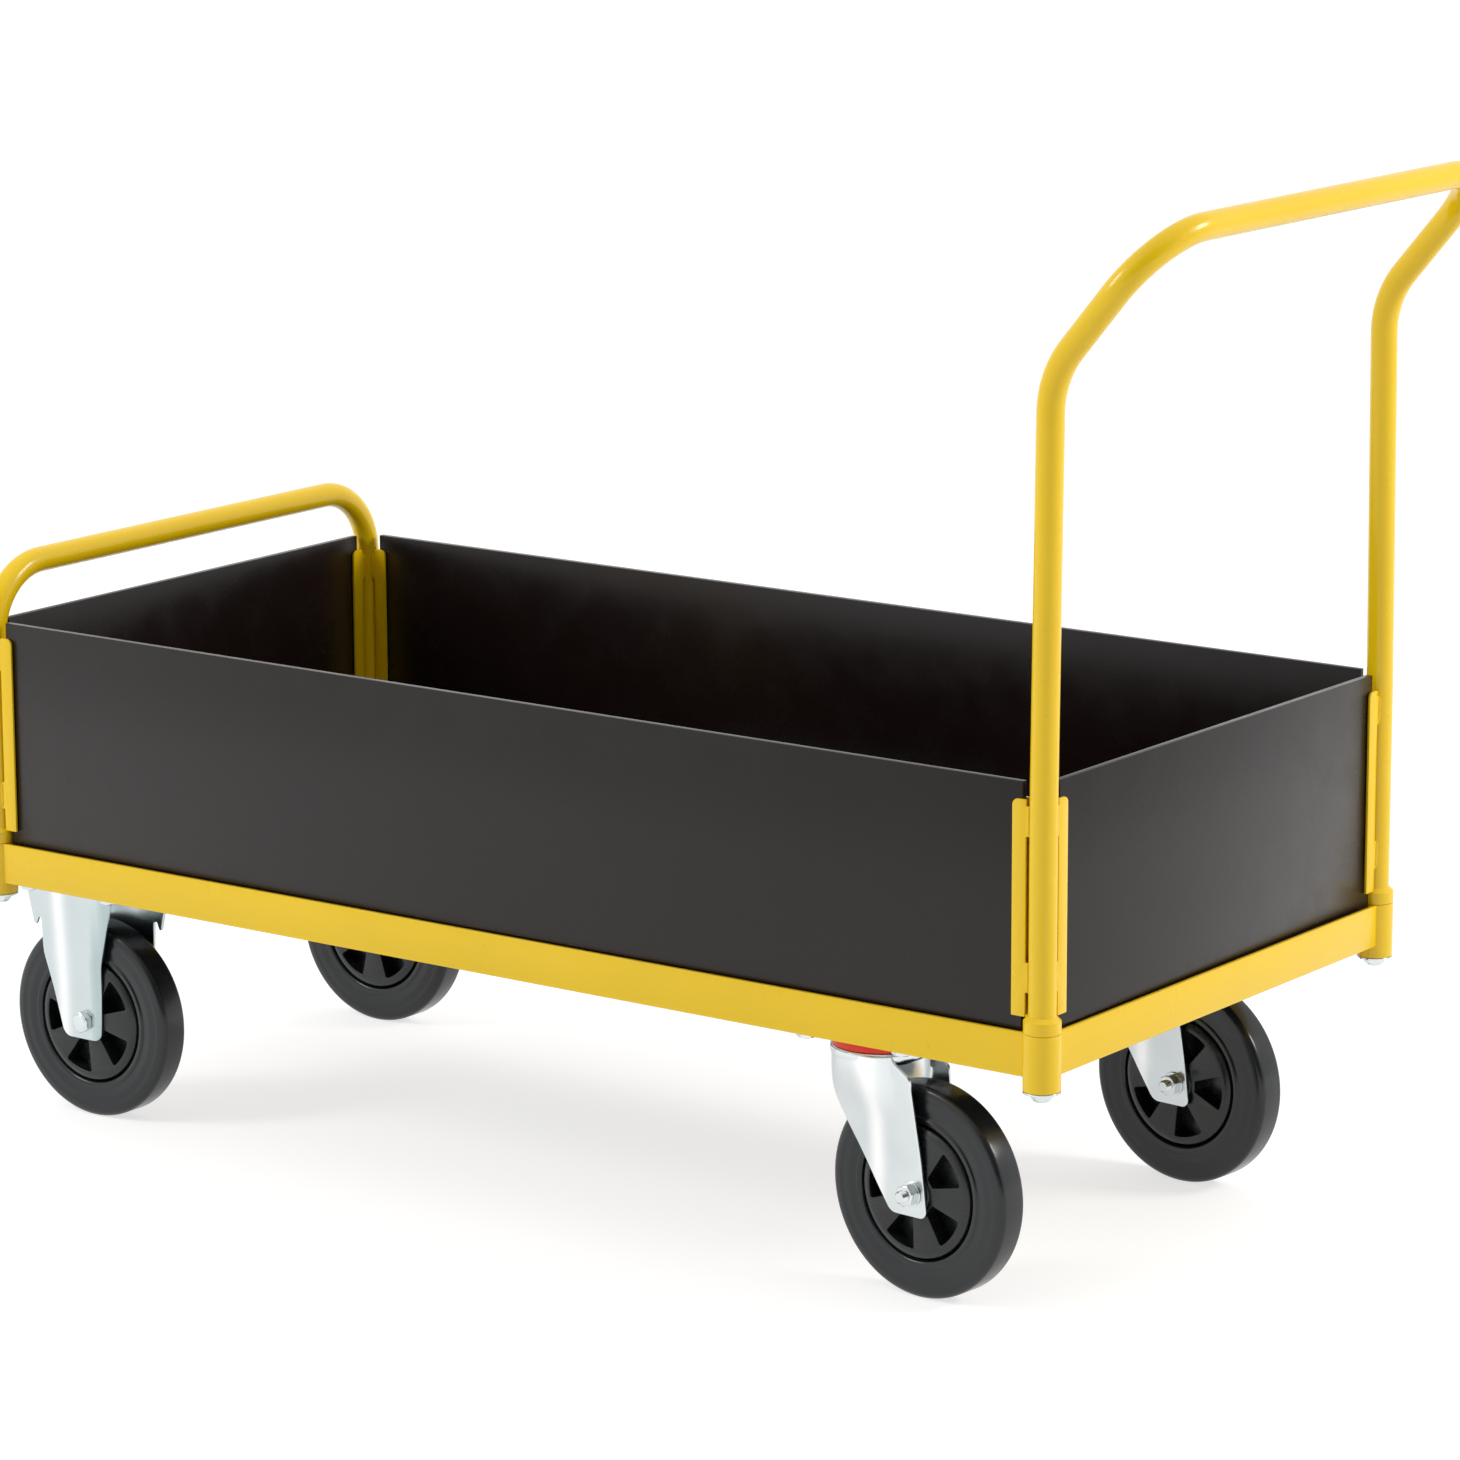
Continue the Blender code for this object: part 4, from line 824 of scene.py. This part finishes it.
def plate_parts(centre):
    """A caster's top plate, with four cup-head bolts through frame and deck, washers and nuts."""
    x, y = PLATE_LENGTH / 2, PLATE_WIDTH / 2
    outline = rounded([(x, y), (-x, y), (-x, -y), (x, -y)], [PLATE_CORNER] * 4)
    middle = Matrix.Translation((0, 0, PLATE_BOTTOM + PLATE_WALL / 2))
    parts = [(slab([outline], PLATE_WALL, SHEET_EDGE), centre @ middle)]
    under = DECK_HIGH.z + GAP
    top = under + CUP_HEIGHT
    cup = lathe(profile((0, top, 0), (CUP_CROWN, top, 0.004), (CUP_RADIUS, under + CUP_RIM, 0.0006),
                        (CUP_RADIUS, under, 0.0002), (0, under, 0)), 40)
    nut_low = PLATE_BOTTOM - PLATE_NUT_DROP
    nut = hexagon(NUT_FLATS, nut_low, PLATE_BOTTOM - PLATE_NUT_SEAT)
    outer, bore, washer_low = PLATE_WASHER_RADIUS, PLATE_WASHER_BORE, PLATE_BOTTOM - PLATE_WASHER_WALL
    washer = lathe(profile((outer, PLATE_BOTTOM, 0.0003), (outer, washer_low, 0.0004),
                           (bore, washer_low, 0), (bore, PLATE_BOTTOM, 0)), 40)
    tip, root = nut_low - PLATE_BOLT_TIP, under + BITE
    shank = bolt_end(SHANK_RADIUS, tip, root)
    flip = Matrix.Translation((0, 0, tip + root)) @ Matrix.Diagonal((1, 1, -1, 1))
    for dx in (-PITCH_X / 2, PITCH_X / 2):
        for dy in (-PITCH_Y / 2, PITCH_Y / 2):
            place = centre @ Matrix.Translation((dx, dy, 0))
            parts += [(cup, place), (nut, place), (washer, place), (shank, place @ flip)]
    return parts


# Forks
def grid_cut(work, axis, places):
    """Cuts the mesh across an axis at each place, so that it can be bent there."""
    normal = Vector((0, 0, 0))
    normal[axis] = 1
    for place in places:
        geometry = list(work.verts) + list(work.edges) + list(work.faces)
        bmesh.ops.bisect_plane(work, geom=geometry, plane_co=normal * place, plane_no=normal)


def share_of(value, start, length):
    """How far a value has come along a stretch, from 0 to 1."""
    return min(max((value - start) / length, 0.0), 1.0)


def splay(height):
    """How far a leg leans out at this height, above its soft fold."""
    past = height - LEG_FOLD
    half = LEG_FOLD_HALF
    soft = max(0.0, past) if abs(past) > half else (past + half) ** 2 / (4 * half)
    return LEG_SPLAY * soft / (PLATE_BOTTOM - LEG_FOLD)


def pressed_leg(points, radii, crease):
    """A leg cut from sheet in the XY plane (y is height) that leans out at the top, with one soft
    fold at x = crease. Its tone paints a highlight along the fold."""
    work = bmesh.new()
    work.from_mesh(slab([rounded(points, radii)], FORK_WALL, SHEET_EDGE, 2))
    grid_cut(work, 0, [CUT_STEP * k for k in range(-18, 20)])
    grid_cut(work, 1, [LEG_FOLD + CUT_STEP * k for k in range(-3, 4)])
    tone = work.verts.layers.float.new("tone")
    half = CREASE_HALF
    for vert in work.verts:
        # Painted highlight: the tone is raised in a band along the fold.
        vert[tone] = math.exp(-((vert.co.x - crease) / CREASE_HIGHLIGHT_WIDTH) ** 2)
        past = crease + half - vert.co.x
        if past > 0:
            soft = past * past / (4 * half) if past < 2 * half else past - half
            vert.co.z -= CREASE_SLOPE * soft
        vert.co.z += splay(vert.co.y)
    return work


def legs_at(place, leg, turned):
    """Both legs of a fork, from one that is drawn in the XY plane and faces -Y."""
    middle = FORK_OUTER - FORK_WALL / 2
    parts = []
    for sign in (-1, 1):
        stand = Matrix.Rotation(math.pi / 2, 4, "X")
        if sign > 0:
            stand = (Matrix.Rotation(math.pi, 4, "Z") if turned else Matrix.Diagonal((1, -1, 1, 1))) @ stand
        parts.append((leg, place @ Matrix.Translation((0, sign * middle, 0)) @ stand))
    return parts


def fixed_leg():
    """A fixed fork's leg: a wing and a relief notch on one edge, the other edge drawn in and
    rolled, and a fold along the middle of its flared half."""
    foot = AXLE_HEIGHT - FIXED_FOOT
    top = PLATE_BOTTOM + BITE
    flare = [(-0.069, 0.228), (-0.0615, 0.188), (-0.0555, 0.200), (-0.052, 0.200), (-0.0525, 0.165)]
    back = [(0.0225, 0.158), (0.0425, 0.227)]
    points = [(-0.069, top), *flare, (-0.0275, foot), (0.0195, foot), *back, (0.0445, top)]
    radii = [0, 0.030, 0.0022, 0.0012, 0.0012, 0.040, 0.012, 0.008, 0.070, 0.010, 0]
    work = pressed_leg(points, radii, FIXED_CREASE)
    tone = work.verts.layers.float["tone"]
    for vert in work.verts:
        edge = ROLL_EDGE + ROLL_LEAN * max(0.0, vert.co.y - ROLL_START)
        rolled = share_of(vert.co.x, edge - ROLL_WIDTH, ROLL_WIDTH)
        vert.co.z -= ROLL_DEPTH * rolled * rolled
        # Painted shade on the rolled edge, on top of an overall darker tone for the fixed fork.
        vert[tone] -= FIXED_SHADE + ROLL_SHADE * rolled * (1.7 - rolled)
    return mesh_from(work)


def swivel_leg(offset):
    """A swivel fork's leg. Its head flows out onto the crown's rim."""
    foot = AXLE_HEIGHT - SWIVEL_FOOT
    top = CROWN_TOP - 0.0022
    points = [(-0.0345, top), (-0.0345, AXLE_HEIGHT + 0.077), (offset - 0.024, foot), (offset + 0.018, foot),
              (0.0575, 0.2085), (0.040, 0.2205), (0.0375, top)]
    work = pressed_leg(points, [0, 0.090, 0.012, 0.007, 0.008, 0.004, 0], SWIVEL_CREASE)
    grid_cut(work, 1, [FLOW_START + 0.002 + FLOW_CUT * k for k in range(11)])
    rim = CROWN_RADIUS + 0.0003
    for vert in work.verts:
        flat = FORK_OUTER + splay(vert.co.y)
        out = math.sqrt(max(rim * rim - vert.co.x * vert.co.x, flat * flat)) - flat
        share = share_of(vert.co.y, FLOW_START, FLOW_HEIGHT)
        vert.co.z += share * share * (3 - 2 * share) * out
    return mesh_from(work)


def crown_mesh():
    """The pressed crown: a disc with a rolled rim and a shallow bowl below."""
    r, top = CROWN_RADIUS, CROWN_TOP
    low, roof = top - CROWN_DEPTH, top - CROWN_WALL
    return lathe(profile((CROWN_BORE, top, 0), (r, top, 0.0028), (r, top - 0.008, 0.005),
                         (r - 0.006, low, 0.001), (r - 0.009, low, 0.001), (r - 0.010, roof, 0.002),
                         (CROWN_BORE, roof, 0)), 96)


def seal_mesh(low, high):
    """A swivel's dust seal: a ring with a rounded outer shoulder."""
    outer = CROWN_RADIUS - SEAL_INSET
    inner = outer - SEAL_WIDTH
    return lathe(profile((outer - SEAL_LIP, high, 0.0008), (outer, low + 0.004, 0.003), (outer, low, 0.0008),
                         (inner, low, 0.0005), (inner, high, 0.0005)), 96)


def axle_frame(joint):
    """The axle's place: Z along the axle towards +Y, X forward."""
    centre = Vector(joint["pos_m"])
    across = Vector(joint["axis"]).normalized()
    up = Vector((0, 0, 1))
    turn = Matrix((across.cross(up) * -1, up, across)).transposed()
    return Matrix.Translation(centre) @ turn.to_4x4()


def axle_parts(place, nut_side):
    """A hexagon bolt's head on one side and its threaded end on the other."""
    head_in = FORK_OUTER + GAP
    head_out = head_in + AXLE_HEAD
    turn = place @ Matrix.Diagonal((1, 1, nut_side, 1))
    head = hexagon(AXLE_FLATS, -head_out, -head_in)
    r, rise = AXLE_FACE_RADIUS, AXLE_FACE_RISE
    face = lathe(profile((0, -head_out - rise, 0), (0, -head_out + BITE, 0), (r, -head_out + BITE, 0),
                         (r, -head_out - rise, rise)), 56)
    shank = bolt_end(AXLE_RADIUS, -head_in, head_in + AXLE_NUT + AXLE_END)
    return [(head, turn), (face, turn), (shank, turn)]


def nut_parts(place, nut_side):
    """A washer and a hexagon nut on the threaded end."""
    low = FORK_OUTER + GAP
    high = low + AXLE_WASHER_WALL
    turn = place @ Matrix.Diagonal((1, 1, nut_side, 1))
    outer, bore = AXLE_WASHER_RADIUS, AXLE_WASHER_BORE
    washer = lathe(profile((outer, high, 0.0005), (outer, low, 0.0003), (bore, low, 0), (bore, high, 0)), 56)
    nut = hexagon(AXLE_NUT_FLATS, low + AXLE_NUT_SEAT, low + AXLE_NUT)
    return [(washer, turn), (nut, turn @ Matrix.Rotation(AXLE_NUT_TURN, 4, "Z"))]


# Wheels
def tyre_mesh():
    """A flat tread with rounded shoulders, a faint ring on the wall, and a lip by the rim."""
    lower = [(r, -z, c) for r, z, c in TYRE_SIDE[1:]]
    return lathe(profile(*reversed(TYRE_SIDE), *lower))


def mirrored_lathe(upper, steps=WHEEL_STEPS):
    """A turned shape that is alike on both sides of z = 0, from its upper half's profile."""
    return lathe(profile(*upper, *[(r, -z, c) for r, z, c in reversed(upper)]), steps)


def rim_mesh(turn):
    """Plastic rim: a smooth outer band with a rounded edge, five wide spokes, deep pockets between
    them with a floor in the middle, and a hub barrel."""
    face = RIM_DISC - 0.0002
    ring = mirrored_lathe([(RIM_BAND, RIM_EDGE - 0.0030, 0), (RIM_BAND - 0.0003, RIM_EDGE + 0.0006, 0.0006),
                           (0.0617, 0.0168, 0.0022), (RIM_WEB + 0.0008, face, 0.0040), (0.0547, face, 0.0005),
                           (0.0545, RIM_DISC - 0.004, 0)])
    hub_end = FORK_OUTER - FORK_WALL - HUB_CLEARANCE
    hub = mirrored_lathe([(HUB_BORE, hub_end, 0), (HUB_FACE, hub_end, 0.0012),
                          (HUB_RADIUS, RIM_DISC - 0.002, 0)], 72)
    inner = HUB_RADIUS - 0.0002
    floor = lathe([(inner, RIM_FLOOR), (RIM_WEB, RIM_FLOOR), (RIM_WEB, -RIM_FLOOR), (inner, -RIM_FLOOR)], 96)
    loops = [circle(RIM_WEB, 96), circle(SPIDER_BORE, 48)]
    foot = WINDOW_FOOT * WINDOW_HALF
    near = WINDOW_INNER / math.cos(WINDOW_HALF)
    for k in range(SPOKES):
        at = turn + math.tau * k / SPOKES
        arc = [polar(WINDOW_OUTER, at - WINDOW_HALF * (1 - 2 * i / 8)) for i in range(9)]
        corners = [polar(near, at - foot), *arc, polar(near, at + foot)]
        loops.append(rounded(corners, [0.0015, 0.0022] + [0] * 7 + [0.0022, 0.0015]))
    spider = slab(loops, 2 * RIM_DISC, 0.0006, 2)
    return joined((ring, HERE), (hub, HERE), (floor, HERE), (spider, HERE))


def make_wheels():
    """Each wheel's tyre and rim, with its pockets turned as those of the solid are."""
    tyre = tyre_mesh()
    for name, degrees in WHEEL_TURNS.items():
        place = axle_frame(JOINTS["wheel_" + name + "_roll"])
        show("tyre_" + name, (tyre, place))
        show("rim_" + name, (rim_mesh(math.pi - math.radians(degrees)), place))


def make_fixed_caster(side):
    roll = JOINTS["wheel_hoop_" + side + "_roll"]
    axle = axle_frame(roll)
    stand = Matrix.Translation((roll["pos_m"][0], roll["pos_m"][1], 0))
    show("fixed_fork_" + side, *plate_parts(stand), *legs_at(stand, fixed_leg(), True))
    show("fixed_axle_bolt_" + side, *axle_parts(axle, 1))
    show("fixed_axle_nut_" + side, *nut_parts(axle, 1))


def make_swivel_caster(side):
    """Its plate stays with the frame; fork, seal and axle are turned as they trail."""
    pin = Vector(JOINTS["swivel_" + side + "_turn"]["pos_m"])
    roll = JOINTS["wheel_handle_" + side + "_roll"]
    axle = axle_frame(roll)
    trail = (Vector(roll["pos_m"]) - pin).to_2d()
    head = Matrix.Translation((pin.x, pin.y, 0))
    swivel = head @ Matrix.Rotation(math.atan2(trail.y, trail.x), 4, "Z")
    show("swivel_plate_" + side, *plate_parts(head))
    show("swivel_fork_" + side, (crown_mesh(), swivel), *legs_at(swivel, swivel_leg(trail.length), False))
    low, high = [point.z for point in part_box("dust_seal_" + side)]
    show("dust_seal_" + side, (seal_mesh(low, high), swivel))
    show("swivel_axle_bolt_" + side, *axle_parts(axle, -1))
    show("swivel_axle_nut_" + side, *nut_parts(axle, -1))


# Stage and light
def seen_directly(nodes):
    """1 for rays from the camera and in reflections or glass, 0 for the light on the object."""
    path = nodes.add("ShaderNodeLightPath").outputs
    seen = path["Is Camera Ray"]
    for ray in ("Is Glossy Ray", "Is Transmission Ray"):
        seen = nodes.maths("MAXIMUM", seen, path[ray])
    return seen


def dark_end(nodes):
    """The studio's open end is dark: towards it the surroundings fall off to almost nothing,
    though not to the camera."""
    across = nodes.add("ShaderNodeVectorMath", operation="DOT_PRODUCT")
    across.inputs[1].default_value = DARK_TOWARDS.normalized()
    nodes.link(nodes.add("ShaderNodeTexCoord").outputs["Generated"], across.inputs[0])
    share = nodes.span(across.outputs["Value"], DARK_START, DARK_FULL, 1.0, DARK_LIGHT, "SMOOTHSTEP")
    return nodes.maths("MAXIMUM", share, nodes.add("ShaderNodeLightPath").outputs["Is Camera Ray"])


def make_floor():
    """A pale floor. To the camera and in reflections it shows white, darkened by the shadow."""
    r = FLOOR_REACH
    mesh = bpy.data.meshes.new("floor")
    mesh.from_pydata([(-r, -r, 0), (r, -r, 0), (r, r, 0), (-r, r, 0)], [], [(0, 1, 2, 3)])
    floor = bpy.data.objects.new("floor", mesh)
    bpy.context.scene.collection.objects.link(floor)
    look = Look("floor")
    seen = seen_directly(look)
    look.set(Roughness=0.95, Specular_IOR_Level=0.0, Emission_Color=(1.0, 1.0, 1.0))
    look.to(look.mix(seen, FLOOR_BOUNCE, FLOOR_SEEN), "Base Color")
    look.to(look.maths("MULTIPLY", seen, FLOOR_GLOW), "Emission Strength")
    mesh.materials.append(look.material)


def make_world():
    """White surroundings, a little weaker as light than as they are seen, with a dark end."""
    world = bpy.data.worlds.new("world")
    bpy.context.scene.world = world
    world.use_nodes = True
    nodes = Nodes(world.node_tree)
    back = nodes.tree.nodes["Background"]
    back.inputs["Color"].default_value = (1, 1, 1, 1)
    strength = nodes.span(seen_directly(nodes), 0.0, 1.0, WORLD_LIGHT, WORLD_SEEN)
    nodes.link(nodes.maths("MULTIPLY", strength, dark_end(nodes)), back.inputs["Strength"])


def make_light():
    """Two soft lamps, well to either side of the camera, so that each flat side is lit by one of
    them and what faces the camera stays darker."""
    for name, (place, power, colour) in LAMPS.items():
        data = bpy.data.lights.new(name, "AREA")
        data.shape = "RECTANGLE"
        data.size = LAMP_SIZE
        data.size_y = LAMP_SIZE
        data.energy = power
        data.color = colour
        lamp = bpy.data.objects.new(name, data)
        lamp.location = place
        lamp.rotation_euler = (LAMP_AIM - place).to_track_quat("-Z", "Y").to_euler()
        bpy.context.scene.collection.objects.link(lamp)


bpy.context.scene.view_settings.view_transform = "Standard"
make_camera()
dress_cad()
make_floor()
make_world()
make_light()
make_frame()
make_tubes()
for board, thickness_axis in (("panel_left", 1), ("panel_right", 1), ("panel_hoop_end", 0),
                              ("panel_handle_end", 0)):
    board_piece(board, thickness_axis)
make_socket_fixings()
for caster_side in SIDES:
    make_fixed_caster(caster_side)
    make_swivel_caster(caster_side)
make_wheels()
